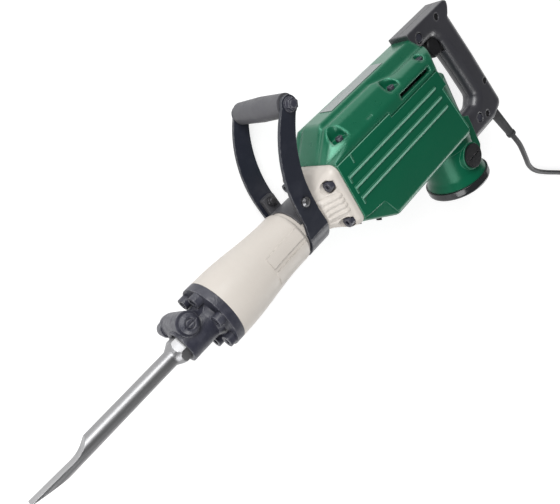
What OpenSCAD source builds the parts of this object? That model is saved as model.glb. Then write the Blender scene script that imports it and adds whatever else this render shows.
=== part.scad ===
// Electric demolition hammer with a flat chisel, lying on its far side.
// X runs rearward along the hammer axis, Y towards the crest, Z up through the visible side.
// Lengths along X are counted from the joint between the front cover and the cylinder case.

/* [Hammer axis] */
// Half width of the green housing
body_half = 56; // [50:0.5:64]
// Height of the side ribs, on which the tool lies
rib_h = 2; // [1:0.5:4]
// Length of the cream cylinder case
case_len = 223; // [205:1:245]
// Wall of the castings
wall = 4; // [3:0.5:6]

/* [Chisel and front cover] */
// Hex shank across its flats
hex_af = 30; // [26:0.5:34]
// Clearance of the shank in its socket, each side
hex_gap = 0.3; // [0.2:0.05:0.6]
// How far the chisel slides out
chisel_travel = 25; // [10:1:35]
// Chisel tip ahead of the front joint
chisel_reach = 288; // [240:1:340]
// Chisel shaft radius
shaft_r = 10.75; // [8:0.25:13]
// Front flange radius
flange_r = 45; // [40:0.5:50]
// Front flange thickness
flange_t = 12; // [8:0.5:16]
// Snout reach ahead of the front joint
snout_reach = 62; // [55:1:75]
// Snout radius
snout_r = 22.5; // [20:0.5:27]
// Turn of the front cover about the hammer axis
nose_turn = -14; // [-30:1:30]
// Retainer pin radius
retainer_r = 9; // [6:0.5:11]
// Retainer pin ahead of the front joint
retainer_reach = 44; // [38:1:50]
// Front cover bolt circle radius
front_bolt_circle = 36; // [33:0.5:38]

/* [Cylinder case] */
// Waist radius of the case
waist_r = 37.5; // [35.5:0.5:40]
// Neck radius under the side handle
neck_r = 33; // [32:0.25:34.5]
// Bore that the liner and the hammer holder sit in
case_bore_r = 29; // [28:0.25:29.5]
// Half width of the rear flange
rear_flange_half = 54; // [50:0.5:56]
// Thickness of the rear flange
rear_flange_t = 16; // [10:0.5:20]

/* [Impact train] */
// Cylinder liner inner radius
cylinder_r = 25; // [22:0.25:27]
// Running clearance of sliding and turning pieces
run_gap = 0.05; // [0.02:0.01:0.1]
// Striker travel
striker_travel = 34; // [20:1:36]
// Crank throw
crank_throw = 20; // [14:0.5:22]
// Connecting rod length between centres
rod_len = 98; // [90:1:110]
// Second hammer travel
second_travel = 10; // [5:0.5:12]

/* [Gears and motor] */
// Crank axis behind the cylinder case
crank_back = 119; // [116:0.5:126]
// Tooth module of the first gear pair
first_module = 1.6; // [1.4:0.05:1.7]
// Tooth module of the second gear pair
second_module = 2; // [1.8:0.05:2.1]
// Motor case outer radius
motor_r = 45; // [44:0.25:47]
// Tail cover radius
tail_r = 51.5; // [48:0.5:56]
// Depth of the tail cover's lower face below the hammer axis
tail_depth = 160; // [150:1:175]
// Brush axis depth below the hammer axis
brush_depth = 108; // [100:1:114]
// Brush cap radius
brush_cap_r = 18.5; // [14:0.5:19.5]

/* [Housing] */
// Parting plane between the housing and the gear cover, ahead of the crank
part_front_y = 48.5; // [46:0.5:50]
// Parting plane behind the crank
part_rear_y = 42.5; // [42.5:0.25:44]
// Crest height above the hammer axis
crest_y = 90.5; // [84:0.5:98]
// Crest half width
crest_half = 16; // [14:0.5:18]
// Ledge of the housing along the gear cover's sides
cover_ledge = 1.2; // [0.6:0.1:1.6]
// Edge radius of the housing's sides
belly_round = 11; // [6:0.5:14]
// Depth of the housing's underside below the hammer axis
belly_depth = 76; // [70:1:82]
// Spacing of the three side ribs
rib_pitch = 17.5; // [14:0.5:20]

/* [Handles] */
// Rear handle half width
handle_half = 18; // [16:0.5:22]
// Edge radius at the grip's back
grip_round = 15; // [8:0.5:16]
// Edge radius at the grip's front, inside the hand opening
hand_round = 16; // [8:0.5:17]
// Trigger travel
trigger_travel = 7; // [4:0.5:8]
// Side handle grip radius
side_grip_r = 16; // [13:0.5:18]
// Side handle strap thickness
strap_t = 4.5; // [3.5:0.5:6]
// Clearance of the side handle band on the neck
band_gap = 0.3; // [0.2:0.05:0.5]
// Splay of the side handle arms in degrees
arm_splay = 5.8; // [3:0.2:7]

/* [Power cord] */
// Cord radius
cord_r = 4.5; // [3.5:0.25:5]
// Cord guard length
guard_len = 68; // [50:1:75]
// Mean radius of the coil
coil_r = 50; // [45:1:54]
// Turns in each of the coil's two layers
coil_turns = 3; // [2:1:4]
// Gap between neighbouring turns
turn_gap = 0.7; // [0.5:0.1:1.5]

/* [Hidden] */
$fn = 64;
green = [0.04, 0.36, 0.24];
cream = [0.86, 0.83, 0.78];
charcoal = [0.15, 0.15, 0.17];
black = [0.06, 0.06, 0.07];
steel = [0.66, 0.67, 0.69];
dark_iron = [0.13, 0.14, 0.18];
alloy = [0.72, 0.73, 0.74];
copper = [0.68, 0.38, 0.2];
rubber = [0.1, 0.1, 0.11];
brass = [0.74, 0.6, 0.3];
eps = 0.01;
axis_h = body_half + rib_h;
inner_half = body_half - wall;

// Chisel and front cover
shank_end = 12;
shank_shoulder = -68;
retainer_x = -retainer_reach;
retainer_bite = 4.5;
retainer_y = hex_af / 2 + retainer_r - retainer_bite;
retainer_flat = retainer_y - hex_af / 2 - 0.6;
notch_floor = hex_af / 2 - retainer_bite - 0.5;
hex_r = hex_af / 2 / cos(30);
drum_r = retainer_r + 6.5;
drum_far = -30;
drum_near = 23;
knob_offset = 6;
front_bolt_r = 5;
front_head_r = 8;
front_head_h = 10;
front_bolt_depth = 22;
gusset_y = front_bolt_circle * cos(30) - front_head_r - 1;

// Impact train
crank_x = case_len + crank_back;
holder_end = 80;
damper_end = holder_end + 8;
second_nose_r = 13;
second_body_r = 20;
second_shoulder = 40;
striker_x = holder_end + second_travel + 3;
piston_len = 36;
piston_pin_x = crank_x - crank_throw - rod_len;
piston_front = piston_pin_x - 28;
striker_len = piston_front - striker_travel - 3 - striker_x;
piston_pin_r = 6;
rod_half = 7;
liner_end = crank_x - 60;

// Case flange and its four bolts
flange_top = 52;
flange_bottom = -41;
case_bolt_z = rear_flange_half - 11;
case_bolt_ys = [flange_top - 21, flange_bottom + 14];
case_bolt_r = 4;
case_head_r = 7;
case_head_h = 9;
case_seat_x = case_len - rear_flange_t + 4;
case_bolt_grip = 22;
flange_corners = [[flange_bottom, -rear_flange_half], [flange_top, -rear_flange_half],
    [flange_top, rear_flange_half], [flange_bottom, rear_flange_half]];

// Gear train: tip circles stay just short of the pitch circles
pinion_teeth = 10;
first_teeth = 50;
second_pinion_teeth = 24;
second_teeth = 50;
first_pinion_r = first_module * pinion_teeth / 2;
first_gear_r = first_module * first_teeth / 2;
second_pinion_r = second_module * second_pinion_teeth / 2;
second_gear_r = second_module * second_teeth / 2;
inter_x = crank_x + second_pinion_r + second_gear_r;
motor_x = inter_x + first_pinion_r + first_gear_r;
tip_gap = 0.2;
plate_y0 = 18;
plate_y1 = 30;
second_y0 = plate_y1 + 2;
second_y1 = second_y0 + 10;
first_y0 = second_y1 + 2;
first_y1 = first_y0 + 9;
crank_shaft_r = 10;
inter_shaft_r = 8;
motor_shaft_r = 7;
crank_bearing_r = 22;
crank_top_bearing_r = 16;
inter_bearing_r = 14;
motor_bearing_r = 15;
tail_bearing_r = 13;
web_r = crank_throw + 14;
web_y0 = rod_half + 2.5;
web_y1 = plate_y0 - 1;

// Motor
motor_bore_r = motor_r - wall;
motor_bore_top = plate_y0 - wall;
stator_y0 = -85;
stator_y1 = -8;
stator_bore_r = 28;
armature_r = stator_bore_r - 0.8;
commutator_r = 16;
neck_tail_r = 44;
tail_h = 15;
tail_y1 = -tail_depth + tail_h;
tail_boss_r = tail_bearing_r + 4;
tail_bearing_y0 = -tail_depth + 12;
holder_r = 8;
boss_face = neck_tail_r + 3;

// Housing
belly_y = -belly_depth;
belly_front_x = case_len + 57;
rear_top_x = motor_x - 5;
rear_step = [motor_x + 1, 16];
rear_seam = [motor_x - 8, 15];
rear_low = [motor_x + 9, -62];
chamber_end_x = motor_x - motor_bore_r - 10.5;
bracket_x = motor_x + motor_r + 13;
bracket_y0 = -133;
bracket_y1 = -71;
upper_boss_r = motor_bearing_r + 7;
rail_z = inner_half - 6;
cover_half = body_half - cover_ledge;
cover_screw_xs = [case_len + 35, crank_x + 36, motor_x - 14];
cover_screw_z = body_half - 14;
cover_seat_y = crest_y - 25;
cover_pocket_rs = [12, 12, 6.5];
function part_y(x) = x < crank_x ? part_front_y : part_rear_y;
slope_angle = atan2(belly_y - flange_bottom, belly_front_x - case_len);
slope_len = norm([belly_y - flange_bottom, belly_front_x - case_len]);

// Rear handle
handle_rear_x = motor_x + 156;
handle_front_top = [motor_x + 10, 98];
handle_front_low = [motor_x + 17, 64];
function handle_front_x(y) = handle_front_low[0] + (handle_front_top[0] - handle_front_low[0])
    * (y - handle_front_low[1]) / (handle_front_top[1] - handle_front_low[1]);
lug_bolt = [motor_x + 32, 81];
bracket_bolt = [bracket_x + 28, -93];
cord_exit = [motor_x + 142, -114.5];
cord_angle = -70;
trigger_y0 = 34;
trigger_y1 = 70;
trigger_half = 10;
trigger_front_x = motor_x + 49;
trigger_back_x = motor_x + 75;
switch_x0 = trigger_back_x + trigger_travel + 2;
switch_x1 = switch_x0 + 18;
switch_half = 10;
trigger_mid_y = (trigger_y0 + trigger_y1) / 2;
handle_screw_spots = [[motor_x + 84, 87], [motor_x + 107, -99], [motor_x + 131, -52]];

// Side handle
band_x0 = case_len - 79;
band_x1 = band_x0 + 36;
band_r = neck_r + band_gap;
arm_w = 30;
arm_x = band_x0 + 3.5;
arm_bend_y = 45;
arm_bend_r = 155;
arm_turn = 45;
grip_x = arm_x + arm_w / 2 + arm_bend_r * (1 - cos(arm_turn));
splay_shift = (band_r + strap_t / 2) * sin(arm_splay);
grip_y = arm_bend_y + arm_bend_r * sin(arm_turn) - splay_shift;
clamp_x = arm_x + 15.5;
clamp_y = 43.5;
clamp_bolt_r = 4;
ear_in = band_r - 9;
grip_arm_in = (band_r + 0.2) + grip_y * tan(arm_splay);
grip_bolt_r = 5;

// The part's origin lies on the floor below the middle of the tool
mid_x = (handle_rear_x - chisel_reach) / 2;
mid_y = (grip_y + side_grip_r - tail_depth) / 2;

// Cord route: leaves the handle, sinks to the floor and runs to the coil
floor_z = 6.2;
cord_route = [for (p = [[178, -206, 55], [186, -225, 50.5], [195, -243, 44], [205, -261, 36.5],
    [216, -278, 28], [229, -294, 20], [243, -310, 13.5], [258, -325, 9], [274, -339, 6.8], [290, -352, 6.2],
    [307, -365, 6.2], [324, -378, 6.2], [341, -391, 6.2], [358, -403, 6.2], [375, -415.5, 6.2],
    [392, -428, 6.2], [409, -440.5, 6.2], [426, -453.5, 6.2]]) p + [motor_x, 0, 0]];
coil_centre = [motor_x + 482, -414];
coil_start = 233.13;
coil_rings = 24;
climb_dip = 0.2;
turn_pitch = 2 * cord_r + turn_gap;
coil_out_r = coil_r + turn_pitch * coil_turns / 2;
coil_in_r = coil_out_r - turn_pitch * coil_turns;
tie_t = 1.2;
tie_gap = 0.4;
tie_w = 12;
plug_len = 46;
plug_r = 15.5;

// Shared shapes
module ground() translate([-mid_x, -mid_y, 0]) children();
module lift() translate([-mid_x, -mid_y, axis_h]) children();
module nose() rotate([nose_turn, 0, 0]) children();
module bar_x(x0, x1, r) translate([x0, 0, 0]) rotate([0, 90, 0]) cylinder(h = x1 - x0, r = r);
module bar_y(x, y0, y1, r) translate([x, y0, 0]) rotate([-90, 0, 0]) cylinder(h = y1 - y0, r = r);
module ring_y(x, y0, y1, r_in, r_out) difference() {
    bar_y(x, y0, y1, r_out);
    bar_y(x, y0 - 1, y1 + 1, r_in);
}
module plate(z0, z1) translate([0, 0, z0]) linear_extrude(z1 - z0) children();
module along_case(x0, x1) translate([x0, 0, 0])
    multmatrix([[0, 0, 1, 0], [1, 0, 0, 0], [0, 1, 0, 0], [0, 0, 0, 1]])
        linear_extrude(x1 - x0) children();
module hex_x(x0, x1, af)
    translate([x0, 0, 0]) rotate([0, 90, 0]) cylinder(h = x1 - x0, r = af / 2 / cos(30), $fn = 6);
module rounded_rect(x0, x1, y0, y1, r) {
    translate([x0 + r, y0]) square([x1 - x0 - 2 * r, y1 - y0]);
    translate([x0, y0 + r]) square([x1 - x0, y1 - y0 - 2 * r]);
    for (x = [x0 + r, x1 - r], y = [y0 + r, y1 - r]) translate([x, y]) circle(r);
}
module mirror_z() {
    children();
    mirror([0, 0, 1]) children();
}
module at_front_bolts()
    nose() for (k = [0:5]) rotate([60 * k + 30, 0, 0]) translate([0, front_bolt_circle, 0]) children();
module at_case_bolts()
    for (y = case_bolt_ys, s = [-1, 1]) translate([0, y, s * case_bolt_z]) children();
module at_cover_screws()
    for (x = cover_screw_xs, s = [-1, 1]) translate([x, 0, s * cover_screw_z]) children();
module socket_head_x(x0, h, r) difference() {
    bar_x(x0, x0 + h, r);
    hex_x(x0 - 1, x0 + h * 0.6, r * 0.95);
}
module gear_y(x, y0, y1, r, teeth, turn = 0) {
    depth = 2 * PI * r / teeth * 0.34;
    step = 360 / teeth;
    flank = [[-0.36, -1], [-0.17, 0], [0.17, 0], [0.36, -1]];
    translate([x, y0, 0]) rotate([-90, 0, 0]) rotate(turn) linear_extrude(y1 - y0)
        polygon([for (k = [0:teeth - 1], f = flank)
            (r + f[1] * depth) * [cos((k + f[0]) * step), sin((k + f[0]) * step)]]);
}
function blend(a, b, t) = a + (b - a) * (1 - cos(180 * t)) / 2;
function unit(v) = v / norm(v);
function side_of(v) = [-v[1], v[0]];
function turn(a, p, b, r, n, d) = let (u = unit(a - p), v = unit(b - p),
        h = acos(max(-1, min(1, u * v))) / 2, c = p + unit(u + v) * r / sin(h),
        s = u * r / tan(h) + p - c, e = v * r / tan(h) + p - c, way = side_of(p - a) * (b - p) > 0 ? 1 : -1)
    [for (k = [0:n]) c + (r - way * d) * unit(s + (e - s) * k / n)];
function mitre(a, p, b, d) = let (f = unit(side_of(p - a)), g = unit(side_of(b - p)))
    p + d * (f + g) / (1 + f * g);
function rounded(p, r, n, d = 0) = let (m = len(p)) [for (i = [0:m - 1])
    let (a = p[(i + m - 1) % m], b = p[(i + 1) % m])
        each r[i] == 0 ? [mitre(a, p[i], b, d)] : turn(a, p[i], b, r[i], n, d)];
module skin(rings) {
    n = len(rings);
    m = len(rings[0]);
    walls = [for (i = [0:n - 2], k = [0:m - 1]) let (a = i * m + k, b = i * m + (k + 1) % m)
        each [[a, a + m, b + m], [a, b + m, b]]];
    polyhedron([for (r = rings) each r],
        concat(walls, [[for (k = [0:m - 1]) k]], [[for (k = [0:m - 1]) n * m - 1 - k]]));
}
module sculpt(p, r, levels, n = 5)
    skin([for (l = levels) [for (q = rounded(p, r, n, l[1])) [q[0], q[1], l[0]]]]);
function round_up(z, e, m) = [for (k = [0:m]) let (a = 90 * k / m) [z - e * (1 - sin(a)), e * (1 - cos(a))]];
function round_down(z, e, m) = let (l = round_up(-z, e, m)) [for (k = [m:-1:0]) [-l[k][0], l[k][1]]];
function heading(p, i) = unit(p[min(i + 1, len(p) - 1)] - p[max(i - 1, 0)]);
module tube(path, r, sides, ref) {
    n = len(path);
    rings = [for (i = [0:n - 1])
        let (t = heading(path, i), a = unit(cross(ref, t)), b = cross(t, a))
        for (k = [0:sides - 1]) path[i] + r * (cos(360 * k / sides) * a + sin(360 * k / sides) * b)];
    sides_a = [for (i = [0:n - 2], k = [0:sides - 1])
        [i * sides + k, (i + 1) * sides + k, (i + 1) * sides + (k + 1) % sides]];
    sides_b = [for (i = [0:n - 2], k = [0:sides - 1])
        [i * sides + k, (i + 1) * sides + (k + 1) % sides, i * sides + (k + 1) % sides]];
    start_cap = [for (k = [1:sides - 2]) [0, k, k + 1]];
    last = (n - 1) * sides;
    end_cap = [for (k = [1:sides - 2]) [last, last + k + 1, last + k]];
    polyhedron(rings, concat(sides_a, sides_b, start_cap, end_cap));
}

// Chisel: hex shank, round shaft and a flat blade whose edge lies across the tool
blade_x = 57 - chisel_reach;
scoop_r = 35.7;
module blade_outline() difference() {
    polygon([[blade_x + 30, shaft_r + 1], [blade_x, shaft_r + 1], [blade_x, -0.5], [-chisel_reach, 1.2],
        [-chisel_reach, 0.2], [blade_x - 9, -shaft_r - 0.4], [blade_x + 30, -shaft_r - 1]]);
    translate([blade_x, scoop_r - 0.5]) circle(scoop_r, $fn = 128);
}
module chisel() lift() nose() color(steel) difference() {
    union() {
        intersection() {
            hex_x(shank_shoulder - 20, shank_end, hex_af);
            union() {
                bar_x(shank_shoulder, shank_end - 3, hex_r + 1);
                translate([shank_end - 3, 0, 0]) rotate([0, 90, 0])
                    cylinder(h = 3, r1 = hex_r, r2 = hex_af / 2 - 1.5);
                translate([shank_shoulder - 13, 0, 0]) rotate([0, 90, 0])
                    cylinder(h = 13 + eps, r1 = shaft_r, r2 = hex_r + 1);
            }
        }
        bar_x(blade_x + 26.5, shank_shoulder, shaft_r);
        intersection() {
            bar_x(-chisel_reach, blade_x + 26.6, shaft_r);
            plate(-2 * shaft_r, 2 * shaft_r) blade_outline();
        }
    }
    translate([retainer_x - retainer_r - 1, notch_floor, -hex_af])
        cube([2 * retainer_r + chisel_travel + 2, hex_af, 2 * hex_af]);
}

// Front cover: flange, hex socket snout and the cross drum of the tool retainer
module front_cover() lift() color(dark_iron) {
    difference() {
        nose() union() {
            bar_x(-flange_t, 0, flange_r);
            translate([-flange_t - 8, 0, 0]) rotate([0, 90, 0])
                cylinder(h = 8 + eps, r1 = snout_r, r2 = snout_r + 4);
            bar_x(-snout_reach, -flange_t, snout_r);
            translate([retainer_x, retainer_y, drum_far]) cylinder(h = drum_near - drum_far, r = drum_r);
            plate(drum_far + 8, drum_near - 6)
                polygon([[retainer_x, retainer_y], [retainer_x + 8, retainer_y + drum_r - 2],
                    [-flange_t - front_head_h - 1, gusset_y], [-flange_t, gusset_y], [-flange_t, 0],
                    [retainer_x, 0]]);
        }
        nose() {
            hex_x(-snout_reach - 1, 1, hex_af + 2 * hex_gap);
            translate([-snout_reach, 0, 0]) rotate([0, 90, 0])
                cylinder(h = 5, r1 = hex_r + 2, r2 = hex_r - 3);
            translate([retainer_x, retainer_y, drum_far - 1])
                cylinder(h = drum_near - drum_far + 2, r = retainer_r + run_gap);
            for (k = [0:1]) translate([retainer_x, retainer_y, drum_far + 2 + 3 * k]) difference() {
                cylinder(h = 1.5, r = drum_r + 2);
                translate([0, 0, -1]) cylinder(h = 4, r = drum_r - 1);
            }
        }
        at_front_bolts() bar_x(-flange_t - 1, 1, front_bolt_r + 0.3);
    }
}
module front_cover_bolts() lift() color(dark_iron) at_front_bolts() {
    socket_head_x(-flange_t - front_head_h, front_head_h, front_head_r);
    bar_x(-flange_t - eps, front_bolt_depth, front_bolt_r);
}

// Tool retainer: a cross pin with a flat, cranked to a knob on the far side
module retainer_lever() lift() nose() color(dark_iron) {
    translate([retainer_x, retainer_y, 0]) {
        difference() {
            translate([0, 0, drum_far]) cylinder(h = drum_near - drum_far, r = retainer_r);
            translate([-retainer_r - 1, retainer_flat, -hex_r - 2])
                cube([2 * retainer_r + 2, retainer_r, 2 * hex_r + 4]);
        }
        translate([0, 0, drum_near - eps]) cylinder(h = 7, r = 5);
        plate(drum_far - 9, drum_far - 0.3) {
            circle(drum_r - 1);
            translate([-knob_offset, 0]) circle(drum_r - 4);
        }
        translate([0, 0, drum_far - 0.3 - eps]) cylinder(h = 0.3 + 2 * eps, r = retainer_r);
        translate([-knob_offset, 0, drum_far - 22]) cylinder(h = 13 + eps, r = 9.5);
    }
}
module retainer_cap() lift() nose() color(dark_iron)
    translate([retainer_x, retainer_y, drum_near]) difference() {
        union() {
            translate([0, 0, 0.3]) cylinder(h = 6, r = drum_r - 3);
            translate([0, 0, 6.3]) cylinder(h = 3, r1 = drum_r - 3, r2 = drum_r - 7);
        }
        translate([0, 0, -1]) cylinder(h = 8, r = 5);
        translate([0, 0, 8.2]) difference() {
            cylinder(h = 2, r = 6.6);
            translate([0, 0, -1]) cylinder(h = 4, r = 4.8);
        }
        translate([-drum_r, -1.2, 8.2]) cube([2 * drum_r, 2.4, 2]);
    }

// Cylinder case: waisted barrel with a side panel, plain neck and a flared square flange
module case_profile(grow) {
    steps = 12;
    polygon(concat(
        [[case_bore_r, 0], [flange_r + grow, 0]],
        [for (k = [0:steps]) [blend(flange_r, waist_r, k / steps) + grow, 8 + (band_x0 - 26) * k / steps]],
        [for (k = [0:6]) [neck_r + (waist_r - neck_r + grow) * cos(15 * k), band_x0 - 9 + 7 * sin(15 * k)]],
        [[neck_r, case_len - 1], [case_bore_r, case_len - 1]]));
}
function flare_ring(x, r, t, d) = [for (p = rounded(flange_corners, [12, 12, 12, 12], 8, d))
    let (q = r * unit(p) * (1 - t) + p * t) [x, q[0], q[1]]];
module flange_flare() skin([
    flare_ring(band_x1 - 1, neck_r - 1.5, 0, 0), flare_ring(band_x1 + 4, neck_r + 0.8, 0, 0),
    flare_ring(band_x1 + 11, neck_r + 1.5, 0.13, 0), flare_ring(band_x1 + 19, neck_r + 2, 0.42, 0),
    flare_ring(band_x1 + 27, neck_r + 2, 0.8, 0), flare_ring(case_seat_x + 2, neck_r, 1, 2.4),
    flare_ring(case_seat_x + 4, neck_r, 1, 0.7), flare_ring(case_seat_x + 6.5, neck_r, 1, 0),
    flare_ring(case_len, neck_r, 1, 0)]);
module cylinder_case() lift() color(cream) difference() {
    union() {
        rotate([0, 90, 0]) rotate_extrude() case_profile(0);
        intersection() {
            rotate([0, 90, 0]) rotate_extrude() case_profile(1.1);
            mirror_z() for (y = [[-23, -3], [3, 19]])
                translate([band_x0 - 68, y[0], 10]) cube([62, y[1] - y[0], 40]);
        }
        flange_flare();
    }
    bar_x(-1, case_len + 1, case_bore_r);
    at_front_bolts() bar_x(-1, front_bolt_depth, front_bolt_r);
    at_case_bolts() bar_x(band_x1 + 4, case_seat_x, case_head_r + 2);
    at_case_bolts() bar_x(case_seat_x - 1, case_len + 1, case_bolt_r + 0.3);
    mirror_z() for (k = [-1:2]) translate([band_x1 + 8, 8 * k - 2, neck_r + 3.5])
        rotate([0, 54, 0]) cylinder(h = 25, r = 2.8);
}
module crankcase_bolts() lift() color(dark_iron) at_case_bolts() {
    socket_head_x(case_seat_x - case_head_h, case_head_h, case_head_r);
    bar_x(case_seat_x - eps, case_len + case_bolt_grip, case_bolt_r);
}

// Impact train on the hammer axis
module hammer_holder() lift() color(steel) difference() {
    bar_x(0, holder_end, case_bore_r);
    bar_x(-1, shank_end + 4, hex_r + 0.7);
    bar_x(-1, holder_end + 1, second_nose_r + run_gap);
    bar_x(second_shoulder, holder_end + 1, second_body_r + run_gap);
}
module damper_ring() lift() color(rubber) difference() {
    bar_x(holder_end, damper_end, case_bore_r);
    bar_x(holder_end - 1, damper_end + 1, second_body_r + 1);
}
module second_hammer() lift() color(steel) {
    bar_x(shank_end + 0.5, second_shoulder + 1, second_nose_r);
    bar_x(second_shoulder + 0.5, holder_end, second_body_r);
}
module cylinder_liner() lift() color(steel) difference() {
    bar_x(damper_end, liner_end, case_bore_r);
    bar_x(damper_end - 1, liner_end + 1, cylinder_r);
}
module ring_seats(x, count) for (k = [0:count - 1]) translate([x + 7 * k, 0, 0]) difference() {
    bar_x(0, 3, cylinder_r + 1);
    bar_x(-1, 4, cylinder_r - 3);
}
module ring_set(x, count) for (k = [0:count - 1]) translate([x + 7 * k, 0, 0]) difference() {
    bar_x(0, 3, cylinder_r - run_gap);
    bar_x(-1, 4, cylinder_r - 3);
}
module striker() lift() color(steel) difference() {
    bar_x(striker_x, striker_x + striker_len, cylinder_r - run_gap);
    ring_seats(striker_x + striker_len - 18, 2);
}
module striker_rings() lift() color(rubber) ring_set(striker_x + striker_len - 18, 2);
module piston() lift() color(alloy) difference() {
    bar_x(piston_front, piston_front + piston_len, cylinder_r - run_gap);
    ring_seats(piston_front + 4, 1);
    bar_y(piston_pin_x, -cylinder_r, cylinder_r, piston_pin_r);
    translate([piston_pin_x - 13, -rod_half - 1, -cylinder_r])
        cube([piston_len, 2 * rod_half + 2, 2 * cylinder_r]);
}
module piston_rings() lift() color(rubber) ring_set(piston_front + 4, 1);
module piston_pin() lift() color(steel) bar_y(piston_pin_x, -cylinder_r + 4, cylinder_r - 4, piston_pin_r);
module connecting_rod() lift() color(alloy) difference() {
    rotate([-90, 0, 0]) translate([0, 0, -rod_half]) linear_extrude(2 * rod_half) {
        translate([piston_pin_x, 0]) circle(11);
        translate([piston_pin_x + rod_len, 0]) circle(16);
        polygon([[piston_pin_x, -9], [piston_pin_x + rod_len, -11], [piston_pin_x + rod_len, 11],
            [piston_pin_x, 9]]);
    }
    bar_y(piston_pin_x, -rod_half - 1, rod_half + 1, piston_pin_r + run_gap);
    bar_y(piston_pin_x + rod_len, -rod_half - 1, rod_half + 1, crank_shaft_r + 0.3);
}

// Crank, gears and their bearings; all axes run towards the crest
module crankshaft() lift() color(steel) {
    bar_y(crank_x, web_y0, web_y1, web_r);
    bar_y(crank_x, web_y1 - eps, first_y1, crank_shaft_r);
    bar_y(crank_x - crank_throw, rod_half + 1, web_y0 + eps, crank_shaft_r);
}
module crank_gear() lift() color(steel) difference() {
    gear_y(crank_x, second_y0, second_y1, second_gear_r - tip_gap, second_teeth);
    bar_y(crank_x, second_y0 - 1, second_y1 + 1, crank_shaft_r);
    for (a = [0:60:300]) translate([crank_x, 0, 0]) rotate([0, a, 0])
        bar_y(second_gear_r * 0.58, second_y0 - 1, second_y1 + 1, second_gear_r * 0.17);
}
module crank_bearings() lift() color(steel) {
    ring_y(crank_x, plate_y0, plate_y1, crank_shaft_r + run_gap, crank_bearing_r);
    ring_y(crank_x, first_y0 + 2, first_y1, crank_shaft_r + run_gap, crank_top_bearing_r);
}
module gear_plate() lift() color(alloy) difference() {
    union() {
        translate([liner_end + 2, plate_y0, -inner_half])
            cube([rear_top_x - wall - liner_end - 2, plate_y1 - plate_y0, 2 * inner_half]);
        bar_y(motor_x, plate_y0, plate_y1, upper_boss_r - wall);
    }
    bar_y(crank_x, plate_y0 - 1, plate_y1 + 1, crank_bearing_r);
    bar_y(inter_x, plate_y0 - 1, plate_y1 + 1, inter_bearing_r);
    bar_y(motor_x, plate_y0 - 1, plate_y1 + 1, motor_bearing_r);
    mirror_z() translate([0, 0, inner_half * 0.62]) bar_y(inter_x - 25, plate_y0 - 1, plate_y1 + 1, 11);
}
module intermediate_shaft() lift() color(steel) {
    bar_y(inter_x, plate_y0 + 1, first_y1 + 11, inter_shaft_r);
    gear_y(inter_x, second_y0, second_y1, second_pinion_r - tip_gap, second_pinion_teeth);
}
module first_gear() lift() color(steel) difference() {
    gear_y(inter_x, first_y0, first_y1, first_gear_r - tip_gap, first_teeth);
    bar_y(inter_x, first_y0 - 1, first_y1 + 1, inter_shaft_r);
}
module intermediate_bearings() lift() color(steel) {
    ring_y(inter_x, plate_y0, plate_y1, inter_shaft_r + run_gap, inter_bearing_r);
    ring_y(inter_x, first_y1 + 2, first_y1 + 11, inter_shaft_r + run_gap, inter_bearing_r);
}

// Motor
module armature_shaft() lift() color(steel) {
    bar_y(motor_x, tail_bearing_y0 + 1, first_y0, motor_shaft_r);
    gear_y(motor_x, first_y0 - eps, first_y1, first_pinion_r - tip_gap, pinion_teeth);
}
module armature_core() lift() color(alloy) difference() {
    bar_y(motor_x, stator_y0, stator_y1, armature_r);
    bar_y(motor_x, stator_y0 - 1, stator_y1 + 1, motor_shaft_r);
    for (a = [0:30:330]) translate([motor_x, 0, 0]) rotate([0, a, 0])
        translate([armature_r - 3, stator_y0 - 1, -1.5]) cube([6, stator_y1 - stator_y0 + 2, 3]);
}
module commutator() lift() color(copper)
    ring_y(motor_x, -brush_depth - 12, -brush_depth + 12, motor_shaft_r, commutator_r);
module cooling_fan() lift() color(charcoal) {
    ring_y(motor_x, 2, 4, motor_shaft_r, motor_bore_r - 4);
    ring_y(motor_x, 2, 11, motor_shaft_r, motor_shaft_r + 5);
    for (a = [0:30:330]) translate([motor_x, 4 - eps, 0]) rotate([0, a, 0])
        translate([motor_shaft_r + 4, 0, -1]) cube([motor_bore_r - motor_shaft_r - 9, 7, 2]);
}
module stator() lift() color(copper) ring_y(motor_x, stator_y0, stator_y1, stator_bore_r, motor_bore_r);
module motor_bearings() lift() color(steel) {
    ring_y(motor_x, plate_y0, plate_y1, motor_shaft_r + run_gap, motor_bearing_r);
    ring_y(motor_x, tail_bearing_y0, tail_bearing_y0 + 11, motor_shaft_r + run_gap, tail_bearing_r);
}
module at_brushes() mirror_z() translate([motor_x, -brush_depth, 0]) children();
module brush_holders() lift() color(brass) at_brushes() difference() {
    translate([0, 0, commutator_r + 2]) cylinder(h = boss_face - commutator_r - 2, r = holder_r);
    translate([-4, -5, commutator_r]) cube([8, 10, 22]);
}
module carbon_brushes() lift() color(black) at_brushes()
    translate([-4, -5, commutator_r + 0.3]) cube([8, 10, 21.7]);
module brush_caps() lift() color(black) at_brushes() difference() {
    translate([0, 0, boss_face]) cylinder(h = 4, r = brush_cap_r);
    translate([-brush_cap_r * 0.7, -1, boss_face + 2.5]) cube([brush_cap_r * 1.4, 2, 3]);
}

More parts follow.
